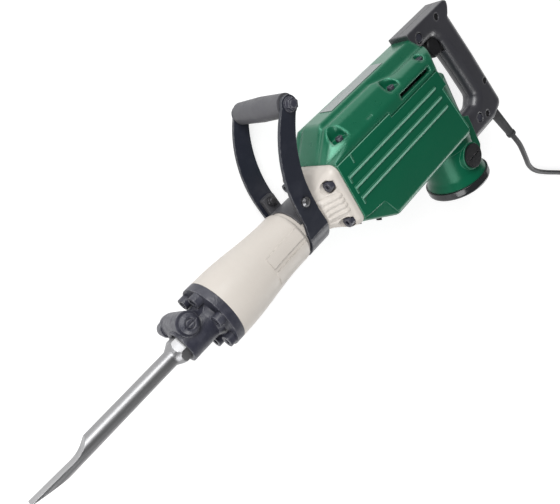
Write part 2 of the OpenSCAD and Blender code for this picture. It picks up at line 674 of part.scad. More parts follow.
// Green housing: side block, motor barrel, tail neck and the bracket of the rear handle
slope = (belly_y - flange_bottom) / (belly_front_x - case_len);
module block_outline(inset)
    polygon([[case_len + inset, flange_bottom + inset * 0.7], [belly_front_x + inset * 0.3, belly_y + inset],
        [rear_low[0] - 3 - inset, belly_y + inset], rear_low - [inset, 0], rear_seam - [inset, 0],
        rear_step - [inset, 0], [rear_top_x - inset, part_rear_y], [crank_x, part_rear_y],
        [crank_x, part_front_y], [case_len + inset, part_front_y]]);
module block_body() intersection() {
    plate(-2 * body_half, 2 * body_half) block_outline(0);
    sculpt([[case_len - 30, flange_bottom - 30 * slope], [belly_front_x, belly_y], [motor_x + 60, belly_y],
        [motor_x + 60, crest_y], [case_len - 30, crest_y]], [0, belly_round + 6, 0, 0, 0],
        concat(round_down(-body_half, belly_round, 6), round_up(body_half, belly_round, 6)), 6);
}
module chamber_outline()
    polygon([[case_len + wall, flange_bottom + wall * 0.7], [belly_front_x + wall * 0.3, belly_y + wall],
        [chamber_end_x, belly_y + wall], [chamber_end_x, plate_y0], [rear_top_x - wall, plate_y0],
        [rear_top_x - wall, crest_y], [case_len + wall, crest_y]]);
module belly_facet() mirror_z() translate([case_len + 42, flange_bottom + 2, body_half])
    rotate([0, 0, slope_angle]) rotate([8, 0, 0])
        linear_extrude(40) polygon([[0, 0], [-80, -40], [58, -40]]);
module housing_rails() mirror_z() {
    translate([liner_end + 2, plate_y0 - 6, rail_z])
        cube([chamber_end_x - liner_end - 2, 6, inner_half - rail_z + 1]);
    for (y = case_bolt_ys) translate([0, y, case_bolt_z])
        bar_x(case_len + 1, case_len + case_bolt_grip + 3, case_bolt_r + 4);
    for (x = cover_screw_xs) translate([0, 0, cover_screw_z + 5]) bar_y(x, plate_y1, part_y(x), 7.5);
}
module tongue_outline()
    polygon([[bracket_x - 1, -78], [bracket_x + 40, -82], [bracket_x + 40, -106], [bracket_x - 1, -112]]);
module rib_section(y, h) polygon([[y - 2.4, body_half - 1], [y - 2.4, body_half], [y - 1.2, body_half + h],
    [y + 1.2, body_half + h], [y + 2.4, body_half], [y + 2.4, body_half - 1]]);
module side_ribs() mirror_z() {
    for (k = [-1:1]) {
        start = case_len + 7 + (1 - k) * 1.5;
        along_case(start, rear_top_x - 19 + (1 - k) * 4) rib_section(8 + rib_pitch * k, rib_h);
        translate([start, rib_pitch * k - 1, body_half - 1]) cube([2.4, 9, rib_h]);
    }
    translate([case_len + 26, part_front_y - 13, body_half - 1]) cube([2, 13, 1.8]);
    plate(body_half - 1, body_half + 0.9)
        polygon([rear_seam, rear_seam - [2.5, 0], rear_low - [2.5, 0], rear_low]);
}
module housing() lift() color(green) difference() {
    union() {
        difference() {
            union() {
                difference() {
                    block_body();
                    belly_facet();
                }
                bar_y(motor_x, plate_y0 - wall, part_rear_y, upper_boss_r);
            }
            plate(-inner_half, inner_half) chamber_outline();
        }
        intersection() {
            housing_rails();
            plate(-inner_half - 1, inner_half + 1) block_outline(1);
        }
        bar_y(motor_x, stator_y0 - wall, plate_y0, motor_r);
        translate([motor_x, tail_y1, 0]) rotate([-90, 0, 0])
            cylinder(h = 16, r1 = tail_r - 2.5, r2 = neck_tail_r);
        bar_y(motor_x, tail_y1 + 16 - eps, stator_y0, neck_tail_r);
        at_brushes() translate([0, 0, neck_tail_r - 12]) cylinder(h = 15, r = brush_cap_r + 2.5);
        plate(-handle_half - 3, handle_half + 3)
            polygon([[motor_x + 30, bracket_y1 + 16], [bracket_x, bracket_y1], [bracket_x, bracket_y0 + 8],
                [bracket_x - 6, bracket_y0], [motor_x + 30, bracket_y0]]);
        plate(-handle_half / 2, handle_half / 2) tongue_outline();
        side_ribs();
    }
    bar_y(motor_x, stator_y0, motor_bore_top, motor_bore_r);
    bar_y(motor_x, tail_y1 - 1, stator_y0 + eps, neck_tail_r - wall);
    bar_y(motor_x, motor_bore_top - 1, plate_y0 + eps, motor_bearing_r - 2);
    bar_y(motor_x, plate_y0, part_front_y, upper_boss_r - wall);
    at_brushes() translate([0, 0, commutator_r + 2]) cylinder(h = neck_tail_r, r = holder_r);
    bar_x(case_len - 1, case_len + wall + 1, case_bore_r);
    at_case_bolts() bar_x(case_len - 1, case_len + case_bolt_grip, case_bolt_r);
    at_cover_screws() bar_y(0, plate_y1 + 1, part_front_y + 1, 3);
    translate([bracket_bolt[0], bracket_bolt[1], -handle_half]) cylinder(h = 2 * handle_half, r = 4.3);
    grease_opening();
    at_grease_screws() bar_y(0, -1, 10, 2);
    at_tail_screws() bar_y(0, tail_y1 - 1, tail_y1 + 8, 2.5);
}

// Gear cover: one skin through its sections, with crest, valley and rolled shoulders
front_half = [[part_rear_y, cover_half], [59, cover_half], [crest_y - 10.5, crest_half + 21],
    [crest_y - 3.5, crest_half + 11], [crest_y - 8, crest_half + 5], [crest_y, crest_half], [crest_y, 0]];
rear_half = [[part_rear_y, cover_half], [59, cover_half], [crest_y - 20, crest_half + 29.5],
    [crest_y - 15, crest_half + 20], [crest_y - 15.5, crest_half + 13], [crest_y, crest_half], [crest_y, 0]];
cover_radii = [0, 9, 14, 4, 3, 3, 0];
function rolled(p, n) = [for (i = [0:len(p) - 1])
    each cover_radii[i] == 0 ? [p[i]] : turn(p[i - 1], p[i], p[i + 1], cover_radii[i], n, 0)];
function cover_ring(x, half, top) = let (h = rolled(half, 4), m = len(h)) concat(
    [for (i = [0:m - 1]) [x, min(h[i][0], top), -h[i][1]]],
    [for (i = [m - 2:-1:0]) [x, min(h[i][0], top), h[i][1]]]);
module cover_skin() skin([
    cover_ring(case_len, front_half, flange_top + 1), cover_ring(case_len + 34, front_half, crest_y - 3),
    cover_ring(case_len + 40, front_half, crest_y), cover_ring(crank_x + 20, front_half, crest_y),
    cover_ring(crank_x + 58, rear_half, crest_y), cover_ring(motor_x + 40, rear_half, crest_y)]);
module cover_side()
    polygon([[case_len - 1, part_front_y], [crank_x, part_front_y], [crank_x, part_rear_y - 1],
        [handle_front_low[0] + 1, part_rear_y - 1], handle_front_low,
        [handle_front_x(crest_y + 3), crest_y + 3], [case_len - 1, crest_y + 3]]);
module cover_plan() {
    bar_y(motor_x - 50, part_rear_y - 1, crest_y + 1, body_half + 16);
    translate([case_len - 1, part_rear_y - 1, -body_half - 2])
        cube([motor_x - 50 - case_len, crest_y - part_rear_y + 2, 2 * body_half + 4]);
}
module cover_cavity() difference() {
    union() {
        translate([liner_end, part_rear_y - 1, -inner_half + 7])
            cube([rear_top_x - liner_end - 3, first_y1 + 3 - part_rear_y, 2 * inner_half - 14]);
        bar_y(motor_x, part_rear_y - 1, first_y1 + 2, upper_boss_r - wall);
    }
    bar_y(crank_x, part_rear_y - 2, first_y1 + 3, crank_top_bearing_r + 6);
    at_cover_screws() bar_y(0, part_rear_y - 2, first_y1 + 3, 8);
}
module lug_outline() polygon([[motor_x, crest_y - 2.5], [motor_x + 42, crest_y - 2.5],
    [motor_x + 42, crest_y - 18], [motor_x, crest_y - 20]]);
module gear_cover() lift() color(green) difference() {
    union() {
        intersection() {
            cover_skin();
            plate(-2 * body_half, 2 * body_half) cover_side();
            cover_plan();
        }
        plate(-handle_half / 2, handle_half / 2) lug_outline();
    }
    cover_cavity();
    bar_y(crank_x, part_rear_y - 1, first_y1, crank_top_bearing_r);
    bar_y(inter_x, part_rear_y - 1, first_y1 + 11, inter_bearing_r);
    at_cover_screws() bar_y(0, part_rear_y - 1, crest_y, 3.3);
    mirror_z() for (k = [0:2]) translate([0, 0, cover_screw_z])
        bar_y(cover_screw_xs[k], cover_seat_y, crest_y + 1, cover_pocket_rs[k]);
    mirror_z() translate([crank_x + 33, part_rear_y + 6.5, inner_half - 10]) cube([74, 8, 20]);
    mirror_z() translate([crank_x - 35, 63, inner_half - 2]) cube([11, 2.4, 12]);
    translate([lug_bolt[0], lug_bolt[1], -handle_half]) cylinder(h = 2 * handle_half, r = 4.3);
}
module gear_cover_screws() lift() color(dark_iron) at_cover_screws() {
    difference() {
        bar_y(0, cover_seat_y, cover_seat_y + 5, 5);
        bar_y(0, cover_seat_y + 2, cover_seat_y + 6, 2.3);
    }
    bar_y(0, plate_y1 + 1, cover_seat_y + eps, 3);
}
module name_plate() lift() color([0.62, 0.78, 0.7])
    translate([case_len + 70, crest_y, -crest_half + 4])
        cube([motor_x - case_len - 121, 0.8, 2 * crest_half - 8]);

// Grease cover on the sloping front of the belly
module on_slope() translate([case_len, flange_bottom, 0]) rotate([0, 0, slope_angle]) children();
module grease_opening() on_slope() bar_y(slope_len * 0.56, -1, wall * 3, 16);
module at_grease_screws() on_slope() for (x = [-20, 20], z = [-20, 20])
    translate([slope_len * 0.56 + x, 0, z]) children();
module grease_cover() lift() color(black) difference() {
    on_slope() translate([slope_len * 0.56 - 26, -3, -26]) cube([52, 3, 52]);
    at_grease_screws() bar_y(0, -4, 1, 2);
}
module grease_cover_screws() lift() color(black) at_grease_screws() {
    bar_y(0, -3, 9, 2);
    bar_y(0, -6.5, -3 + eps, 4);
}

// Tail cover under the motor
module at_tail_screws() for (a = [30, 150, 270]) translate([motor_x, 0, 0]) rotate([0, a, 0])
    translate([neck_tail_r - 1.8, 0, 0]) children();
module tail_cover() lift() color(black) difference() {
    union() {
        translate([motor_x, 0, 0]) rotate([-90, 0, 0]) rotate_extrude() translate([0, -tail_depth]) {
            square([tail_r - 6, tail_h]);
            translate([0, 6]) square([tail_r, tail_h - 6]);
            translate([tail_r - 6, 6]) circle(6);
        }
        bar_y(motor_x, -tail_depth + 2, tail_bearing_y0 + 11, tail_boss_r);
    }
    difference() {
        bar_y(motor_x, -tail_depth + wall, tail_y1 + 1, neck_tail_r - wall);
        bar_y(motor_x, -tail_depth, tail_y1 + 2, tail_boss_r);
    }
    bar_y(motor_x, tail_bearing_y0, tail_y1 + 20, tail_bearing_r);
    for (a = [0:30:330]) translate([motor_x, 0, 0]) rotate([0, a, 0])
        translate([22, -tail_depth - 1, -2]) cube([12, wall + 2, 4]);
    at_tail_screws() bar_y(0, -tail_depth - 1, tail_y1 + 1, 2.8);
    at_tail_screws() bar_y(0, -tail_depth - 1, -tail_depth + 3, 4.8);
}
module tail_cover_screws() lift() color(steel) at_tail_screws() {
    bar_y(0, -tail_depth + 0.5, -tail_depth + 3, 4.4);
    bar_y(0, -tail_depth + 3 - eps, tail_y1 + 8, 2.5);
}

// Side handle: one strap bent round the neck, with a grip between its curved arms
module arm_outline() {
    polygon([[band_x0, -4], [band_x1, -4], [band_x1, 0], [arm_x + arm_w, 22], [arm_x + arm_w, arm_bend_y],
        [arm_x, arm_bend_y], [arm_x, 18], [band_x0, 0]]);
    intersection() {
        difference() {
            translate([arm_x + arm_bend_r, arm_bend_y]) circle(arm_bend_r, $fn = 256);
            translate([arm_x + arm_w + arm_bend_r, arm_bend_y]) circle(arm_bend_r, $fn = 256);
        }
        polygon([[arm_x - 10, arm_bend_y], [arm_x + arm_w + 20, arm_bend_y],
            [grip_x + 14, grip_y + splay_shift - 10], [grip_x - 14, grip_y + splay_shift + 12],
            [arm_x - 10, grip_y]]);
    }
    translate([grip_x, grip_y + splay_shift]) circle(12.5);
}
module strap_arm() difference() {
    rotate([arm_splay, 0, 0]) difference() {
        plate(band_r + 0.2, band_r + 0.2 + strap_t) arm_outline();
        translate([clamp_x, clamp_y, 0]) cylinder(h = 2 * body_half, r = clamp_bolt_r + 0.3);
    }
    translate([grip_x, grip_y, 0]) cylinder(h = 2 * body_half, r = grip_bolt_r);
}
module side_strap() lift() color(dark_iron) {
    mirror_z() strap_arm();
    difference() {
        bar_x(band_x0, band_x1, band_r + strap_t);
        bar_x(band_x0 - 1, band_x1 + 1, band_r);
        translate([band_x0 - 1, 0, -100]) cube([band_x1 - band_x0 + 2, 100, 200]);
    }
}
module clamp_saddle() lift() color(steel) difference() {
    union() {
        intersection() {
            bar_x(band_x0 + 3, band_x1 - 2, band_r + 2.6);
            translate([band_x0, 15, -band_r + 2]) cube([band_x1 - band_x0, band_r, 2 * band_r - 4]);
        }
        mirror_z() rotate([arm_splay, 0, 0]) plate(ear_in, band_r + 0.2)
            rounded_rect(clamp_x - 10, clamp_x + 10, 22, clamp_y + 8, 4);
    }
    bar_x(0, case_len, band_r);
    mirror_z() rotate([arm_splay, 0, 0]) translate([clamp_x, clamp_y, 0]) cylinder(h = 60, r = clamp_bolt_r);
}
module clamp_bolts() lift() color(steel) mirror_z()
rotate([arm_splay, 0, 0]) translate([clamp_x, clamp_y, 0]) {
    translate([0, 0, ear_in - 7]) cylinder(h = band_r + strap_t - ear_in + 8, r = clamp_bolt_r);
    translate([0, 0, ear_in - 5.5]) cylinder(h = 5.5, r = 7, $fn = 6);
    translate([0, 0, band_r + 0.2 + strap_t]) cylinder(h = 3, r = 6.5);
    translate([0, 0, band_r + 3.2 - eps + strap_t]) cylinder(h = 2.4, r1 = 6.5, r2 = 3.6);
}
module side_grip() lift() color(rubber) difference() {
    translate([grip_x, grip_y, 0]) {
        translate([0, 0, -grip_arm_in + 1.2])
            cylinder(h = grip_arm_in - 1.2, r1 = side_grip_r - 1.5, r2 = side_grip_r);
        translate([0, 0, -eps])
            cylinder(h = grip_arm_in - 1.2, r1 = side_grip_r, r2 = side_grip_r - 1.5);
    }
    translate([grip_x, grip_y, -80]) cylinder(h = 160, r = grip_bolt_r);
}
module grip_bolt() lift() color(dark_iron) {
    grip_out = grip_arm_in + strap_t + 0.6;
    translate([grip_x, grip_y, 0]) {
        translate([0, 0, -grip_out]) cylinder(h = 2 * grip_out + 9, r = grip_bolt_r);
        translate([0, 0, grip_out]) cylinder(h = 1.6, r = 9.5);
        translate([0, 0, grip_out + 1.6 - eps]) cylinder(h = 6, r = 8, $fn = 6);
    }
}

// Rear handle: two shells that clamp the lug of the gear cover and the bracket of the housing
grip_corners = [[motor_x - 30, -122], [motor_x + 124, -121.5], [handle_rear_x + 2.35, -107],
    [motor_x + 136, -2], [motor_x + 113, 92], [motor_x - 30, 92]];
arm_corners = [[motor_x - 30, 64], [motor_x + 64, 64], [motor_x + 100, 66], [motor_x + 112, 79],
    [motor_x + 117, 87], [motor_x + 119, 95.5], [motor_x + 113, 99.5], [motor_x - 30, 97.5]];
opening_corners = [[motor_x - 30, bracket_y1], [motor_x + 90, bracket_y1], [motor_x + 101, -60],
    [motor_x + 90, -10], [motor_x + 74, 52], [motor_x + 64, 64], [motor_x - 30, 64]];
module handle_form() difference() {
    union() {
        sculpt(grip_corners, [0, 16.5, 16.5, 60, 16.5, 0],
            concat([[0, 0]], round_up(handle_half, grip_round, 6)));
        sculpt(arm_corners, [0, 0, 0, 6, 5, 4, 3, 0], concat([[0, 0]], round_up(handle_half, 2, 3)));
    }
    sculpt(opening_corners, [0, 9, 9, 80, 16, 8, 0], concat([[-1, 0]],
        [for (l = round_up(handle_half, hand_round, 6)) [l[0], -l[1]]], [[handle_half + 1, -hand_round]]));
    plate(-1, handle_half + 1) polygon([[motor_x - 60, 130], [handle_front_x(130), 130],
        [handle_front_x(55), 55], [bracket_x, 55], [bracket_x, -200], [motor_x - 60, -200]]);
}
module handle_pockets() {
    translate([trigger_front_x - 13, trigger_y0 - 0.5, -trigger_half - 0.5])
        cube([switch_x0 - trigger_front_x + 13, trigger_y1 - trigger_y0 + 1, 2 * trigger_half + 1]);
    translate([switch_x0 - eps, trigger_y0 - 2, -switch_half])
        cube([switch_x1 - switch_x0 + eps, trigger_y1 - trigger_y0 + 4, 2 * switch_half]);
    plate(-handle_half / 2, handle_half / 2) {
        lug_outline();
        tongue_outline();
    }
    for (p = handle_screw_spots) translate([p[0], p[1], -handle_half + 5]) {
        cylinder(h = 2 * handle_half, r = 2.5);
        translate([0, 0, 2 * handle_half - 9]) cylinder(h = 10, r = 5.5);
    }
    for (p = [lug_bolt, bracket_bolt]) translate([p[0], p[1], -handle_half - 1]) {
        cylinder(h = 2 * handle_half + 2, r = 4);
        translate([0, 0, 2 * handle_half - 4]) cylinder(h = 10, r = 8);
        cylinder(h = 5, r = 8);
    }
}
module handle_near() lift() color(charcoal) difference() {
    handle_form();
    handle_pockets();
}
module handle_far() lift() color(charcoal) difference() {
    mirror([0, 0, 1]) handle_form();
    handle_pockets();
}
module handle_screws() lift() color(dark_iron) for (p = handle_screw_spots)
    translate([p[0], p[1], -handle_half + 5]) {
        cylinder(h = 2 * handle_half - 9 + eps, r = 2.5);
        translate([0, 0, 2 * handle_half - 9]) cylinder(h = 2.5, r = 5);
    }
module handle_bolts() lift() color(dark_iron) for (p = [lug_bolt, bracket_bolt])
    translate([p[0], p[1], 0]) {
        translate([0, 0, -handle_half + 4 - eps]) cylinder(h = 2 * handle_half - 9 + 2 * eps, r = 4);
        translate([0, 0, handle_half - 5]) cylinder(h = 4, r = 7, $fn = 6);
        translate([0, 0, -handle_half]) cylinder(h = 4, r = 7, $fn = 6);
    }

// Trigger, its return spring and the switch
module trigger() lift() color(black) difference() {
    intersection() {
        sculpt([[trigger_front_x + 9, trigger_y0], [trigger_back_x + 10, trigger_y0],
            [trigger_back_x + 10, trigger_y1], [trigger_front_x + 11, trigger_y1],
            [trigger_front_x, trigger_mid_y + 1]], [8, 0, 0, 8, 14],
            concat(round_down(-trigger_half, 5, 4), round_up(trigger_half, 5, 4)));
        translate([0, -200, -100]) cube([trigger_back_x, 400, 200]);
    }
    translate([0, trigger_mid_y, 0]) bar_x(trigger_back_x - 8, trigger_back_x + 1, 5);
}
spring_turns = 5;
spring_len = switch_x0 - trigger_back_x + 7.4;
spring_path = [for (k = [0:8 * spring_turns]) let (t = k / (8 * spring_turns))
    [trigger_back_x - 7.2 + t * spring_len, trigger_mid_y + 3.6 * cos(360 * spring_turns * t),
        3.6 * sin(360 * spring_turns * t)]];
module trigger_spring() lift() color(steel) tube(spring_path, 0.6, 6, [1, 0, 0]);
module switch() lift() color(black) difference() {
    translate([switch_x0, trigger_y0 - 2, -switch_half])
        cube([switch_x1 - switch_x0, trigger_y1 - trigger_y0 + 4, 2 * switch_half]);
    translate([0, trigger_mid_y, 0]) bar_x(switch_x0 - 1, switch_x0 + trigger_travel + 1, 5);
}

// Power cord with its guard, coil, tie and plug
module cord_guard() lift() color(rubber) translate([cord_exit[0], cord_exit[1], 0])
    rotate([0, 0, cord_angle]) difference() {
        union() {
            rotate([0, 90, 0]) cylinder(h = guard_len, r1 = cord_r + 3.8, r2 = cord_r + 2.2);
            bar_x(guard_len - 5, guard_len, cord_r + 3.4);
        }
        bar_x(guard_len - 1.2, guard_len + 1, cord_r + 1.4);
    }
guard_end = [cord_exit[0] + guard_len * cos(cord_angle), cord_exit[1] + guard_len * sin(cord_angle), axis_h];
coil_entry = [coil_centre[0] + coil_out_r * cos(coil_start), coil_centre[1] + coil_out_r * sin(coil_start),
    floor_z];
module cord_lead() ground() color(rubber)
    tube(concat([guard_end], cord_route, [coil_entry]), cord_r, 10, [0, 0, 1]);
function coil_radius(t) = t <= coil_turns ? coil_out_r - turn_pitch * t
    : t <= coil_turns + 0.5 ? coil_in_r - climb_dip * turn_pitch * sin(360 * (t - coil_turns))
    : coil_in_r + turn_pitch * (t - coil_turns - 0.5);
function coil_height(t) = floor_z + turn_pitch * (t <= coil_turns ? 0
    : t <= coil_turns + 0.5 ? blend(0, 1, (t - coil_turns) * 2) : 1);
function coil_point(t) = [coil_centre[0] + coil_radius(t) * cos(coil_start + 360 * t),
    coil_centre[1] + coil_radius(t) * sin(coil_start + 360 * t), coil_height(t)];
coil_total = 2 * coil_turns + 0.5;
coil_path = [for (k = [0:coil_rings * coil_total]) coil_point(k / coil_rings)];
coil_last = coil_path[len(coil_path) - 1];
coil_way = heading(coil_path, len(coil_path) - 1);
plug_start = coil_last + 2 * cord_r * coil_way;
module cord_coil() ground() color(rubber) tube(concat(coil_path, [plug_start]), cord_r, 6, [0, 0, 1]);
function path_length(p) = len(p) < 2 ? 0 : [for (i = 1, s = norm(p[1] - p[0]); i < len(p);
    i = i + 1, s = s + (i < len(p) ? norm(p[i] - p[i - 1]) : 0)) s][len(p) - 2];
coil_gap = min([for (i = [0:len(coil_path) - 1], j = [i + 12:1:len(coil_path) - 1])
    norm(coil_path[i] - coil_path[j])]) - 2 * cord_r;
echo(cord_length = path_length(concat([guard_end], cord_route, coil_path, [plug_start])) + guard_len);
echo(coil_least_gap = coil_gap);
module cord_tie() ground() color(black)
    translate([coil_centre[0], coil_centre[1], 0]) rotate([0, 0, coil_start + 150]) {
    in_x = coil_in_r - climb_dip * turn_pitch - cord_r - tie_gap;
    out_x = coil_out_r + cord_r + tie_gap;
    low = floor_z - cord_r - tie_gap;
    high = floor_z + turn_pitch + cord_r + tie_gap;
    translate([0, tie_w / 2, 0]) rotate([90, 0, 0]) linear_extrude(tie_w) difference() {
        translate([in_x - tie_t, low - tie_t]) square([out_x - in_x + 2 * tie_t, high - low + 2 * tie_t]);
        translate([in_x, low]) square([out_x - in_x, high - low]);
    }
}
module at_plug() translate(plug_start) rotate([0, 0, atan2(coil_way[1], coil_way[0])]) children();
module plug() ground() color(rubber) at_plug() difference() {
    union() {
        rotate([0, 90, 0]) cylinder(h = plug_len * 0.5, r1 = cord_r + 1.5, r2 = plug_r);
        bar_x(plug_len * 0.5 - eps, plug_len, plug_r);
    }
    for (s = [-1, 1]) translate([0, s * 9.5, 0]) bar_x(plug_len - 8, plug_len + 1, 2.4);
}
module plug_pins() ground() color(brass) at_plug() for (s = [-1, 1]) translate([0, s * 9.5, 0])
    bar_x(plug_len - 8, plug_len + 19, 2.4);

chisel();
front_cover();
front_cover_bolts();
retainer_lever();
retainer_cap();
cylinder_case();
crankcase_bolts();
hammer_holder();
damper_ring();
second_hammer();
cylinder_liner();
striker();
striker_rings();
piston();
piston_rings();
piston_pin();
connecting_rod();
crankshaft();
crank_gear();
crank_bearings();
gear_plate();
intermediate_shaft();
first_gear();
intermediate_bearings();
armature_shaft();
armature_core();
commutator();
cooling_fan();
stator();
motor_bearings();
brush_holders();
carbon_brushes();
brush_caps();
housing();
gear_cover();
gear_cover_screws();
name_plate();
grease_cover();
grease_cover_screws();
tail_cover();
tail_cover_screws();
side_strap();
clamp_saddle();
clamp_bolts();
side_grip();
grip_bolt();
handle_near();
handle_far();
handle_screws();
handle_bolts();
trigger();
trigger_spring();
switch();
cord_guard();
cord_lead();
cord_coil();
cord_tie();
plug();
plug_pins();
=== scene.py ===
import math

import bpy
import numpy as np
from mathutils import Matrix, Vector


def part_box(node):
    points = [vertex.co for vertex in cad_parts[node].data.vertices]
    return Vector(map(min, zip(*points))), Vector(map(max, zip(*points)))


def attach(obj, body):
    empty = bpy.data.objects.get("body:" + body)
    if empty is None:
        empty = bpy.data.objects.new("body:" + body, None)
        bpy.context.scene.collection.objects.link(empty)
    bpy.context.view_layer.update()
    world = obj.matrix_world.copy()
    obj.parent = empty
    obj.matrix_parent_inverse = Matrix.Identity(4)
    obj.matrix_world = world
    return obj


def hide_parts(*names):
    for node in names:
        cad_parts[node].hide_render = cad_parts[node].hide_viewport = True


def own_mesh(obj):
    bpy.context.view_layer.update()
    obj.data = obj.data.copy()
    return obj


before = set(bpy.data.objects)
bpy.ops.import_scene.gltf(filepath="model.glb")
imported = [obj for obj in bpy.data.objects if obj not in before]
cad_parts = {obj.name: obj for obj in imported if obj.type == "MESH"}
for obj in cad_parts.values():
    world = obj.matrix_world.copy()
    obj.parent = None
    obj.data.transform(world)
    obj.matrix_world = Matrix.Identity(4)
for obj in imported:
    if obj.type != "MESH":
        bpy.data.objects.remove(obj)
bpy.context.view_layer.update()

# Stage. The tool lies on a pale studio floor that sweeps up into a round wall. It is seen from
# above its nose, with the picture's upward edge turned towards the crest. A long soft lamp stands
# on the crest side, and smaller ones stand off the nose and below the belly.
film_width, lens_length, farthest_seen = 36.0, 41.79, 60.0
lens_place = (-0.407, 0.35646, 0.729)
picture_right = (0.6258, -0.4933, 0.6042)
picture_up = (0.6545, 0.7534, -0.0628)
picture_back = (-0.4243, 0.4348, 0.7943)


def facing(place, right, up, back):
    """Where a camera or lamp stands: its right, up and backward directions, and its place."""
    return Matrix.Translation(place) @ Matrix((right, up, back)).transposed().to_4x4()


camera_data = bpy.data.cameras.new("view_of_the_tool")
camera_data.sensor_width = film_width
camera_data.lens = lens_length
camera_data.clip_end = farthest_seen
camera = bpy.data.objects.new("view_of_the_tool", camera_data)
camera.matrix_world = facing(lens_place, picture_right, picture_up, picture_back)
bpy.context.scene.collection.objects.link(camera)
bpy.context.scene.camera = camera
bpy.context.scene.view_settings.view_transform = "Standard"


def smooth_piece(name, points, faces):
    """A smoothly shaded mesh at the origin, from its points and the faces that join them."""
    mesh = bpy.data.meshes.new(name)
    mesh.from_pydata(points, [], faces)
    mesh.polygons.foreach_set("use_smooth", np.ones(len(mesh.polygons), bool))
    piece = bpy.data.objects.new(name, mesh)
    bpy.context.scene.collection.objects.link(piece)
    return piece


sweep_reach, sweep_bend, sweep_top, sweep_sunk = 7.0, 2.0, 2.2, 0.0004
bend_steps, round_steps = 13, 48
flat_rings = np.array((0.0, 0.4, 1.2, 2.4, 3.6))
bend = np.linspace(0.0, np.pi / 2, bend_steps)
sweep_radius = np.concatenate((flat_rings, sweep_reach + sweep_bend * np.sin(bend),
                               (sweep_reach + sweep_bend,)))
sweep_height = np.concatenate((0 * flat_rings, sweep_bend * (1 - np.cos(bend)),
                               (sweep_top,))) - sweep_sunk
round_about = np.linspace(0.0, 2 * np.pi, round_steps, endpoint=False)[:, None]
sweep_points = np.stack((sweep_radius * np.cos(round_about), sweep_radius * np.sin(round_about),
                         sweep_height + 0 * round_about), axis=-1)
slices, steps = sweep_points.shape[:2]
here = np.arange(slices)[:, None] * steps + np.arange(steps - 1)
there = np.roll(here, -1, axis=0)
sweep_faces = np.stack((here, here + 1, there + 1, there), axis=-1).reshape(-1, 4)
floor = smooth_piece("studio_floor", sweep_points.reshape(-1, 3), sweep_faces.tolist())

floor_grey = (0.5, 0.5, 0.5, 1)
glow_from, glow_to, glow_near, glow_far = 0.8, 4.0, 0.75, 0.96
floor_finish = bpy.data.materials.new("studio_white")
floor_finish.use_nodes = True
tree = floor_finish.node_tree
tree.nodes.clear()
matt = tree.nodes.new("ShaderNodeBsdfDiffuse")
matt.inputs["Color"].default_value = floor_grey
lift = tree.nodes.new("ShaderNodeEmission")
spot = tree.nodes.new("ShaderNodeTexCoord")
reach = tree.nodes.new("ShaderNodeVectorMath")
reach.operation = "LENGTH"
fade = tree.nodes.new("ShaderNodeMapRange")
fade.inputs["From Min"].default_value = glow_from
fade.inputs["From Max"].default_value = glow_to
fade.inputs["To Min"].default_value = glow_near
fade.inputs["To Max"].default_value = glow_far
seen_floor = tree.nodes.new("ShaderNodeAddShader")
rays = tree.nodes.new("ShaderNodeLightPath")
mirror_rays = tree.nodes.new("ShaderNodeMath")
mirror_rays.operation = "MAXIMUM"
seen_rays = tree.nodes.new("ShaderNodeMath")
seen_rays.operation = "MAXIMUM"
either = tree.nodes.new("ShaderNodeMixShader")
surface = tree.nodes.new("ShaderNodeOutputMaterial")
for source, target in (
        (spot.outputs["Object"], reach.inputs[0]),
        (reach.outputs["Value"], fade.inputs["Value"]),
        (fade.outputs["Result"], lift.inputs["Strength"]),
        (matt.outputs[0], seen_floor.inputs[0]),
        (lift.outputs[0], seen_floor.inputs[1]),
        (rays.outputs["Is Glossy Ray"], mirror_rays.inputs[0]),
        (rays.outputs["Is Transmission Ray"], mirror_rays.inputs[1]),
        (rays.outputs["Is Camera Ray"], seen_rays.inputs[0]),
        (mirror_rays.outputs[0], seen_rays.inputs[1]),
        (seen_rays.outputs[0], either.inputs[0]),
        (matt.outputs[0], either.inputs[1]),
        (seen_floor.outputs[0], either.inputs[2]),
        (either.outputs[0], surface.inputs["Surface"])):
    tree.links.new(source, target)
floor.data.materials.append(floor_finish)

air_colour, air_strength = (1.0, 1.0, 1.0, 1), 0.12
sky = bpy.data.worlds.new("studio_air")
sky.use_nodes = True
air = sky.node_tree.nodes["Background"]
air.inputs["Color"].default_value = air_colour
air.inputs["Strength"].default_value = air_strength
bpy.context.scene.world = sky

lamp_aim, lamp_upright = np.array((0.0, 0.0, 0.05)), (0.0, 0.31, 0.95)


def hang_lamp(name, place, width, height, power):
    """An oblong soft lamp at place, facing its aim, with its width square to the upright."""
    data = bpy.data.lights.new(name, "AREA")
    data.shape = "RECTANGLE"
    data.size = width
    data.size_y = height
    data.energy = power
    lamp = bpy.data.objects.new(name, data)
    away = (np.array(place) - lamp_aim) / np.linalg.norm(np.array(place) - lamp_aim)
    across = np.cross(lamp_upright, away)
    across /= np.linalg.norm(across)
    lamp.matrix_world = facing(place, across, np.cross(away, across), away)
    bpy.context.scene.collection.objects.link(lamp)


hang_lamp("crest_lamp", place=(-0.4, 1.25, 0.9), width=1.7, height=0.7, power=28.0)
hang_lamp("nose_lamp", place=(-1.05, -0.75, 0.9), width=0.9, height=0.9, power=14.0)
hang_lamp("belly_lamp", place=(0.95, -1.2, 0.45), width=0.7, height=0.6, power=5.0)

# Chisel. A forged bar of tool steel with a hex shank and a flat blade, held in its socket by the
# retainer's pin. It is ground bright, and faint draw marks run along the shaft.
bevel_samples = 6


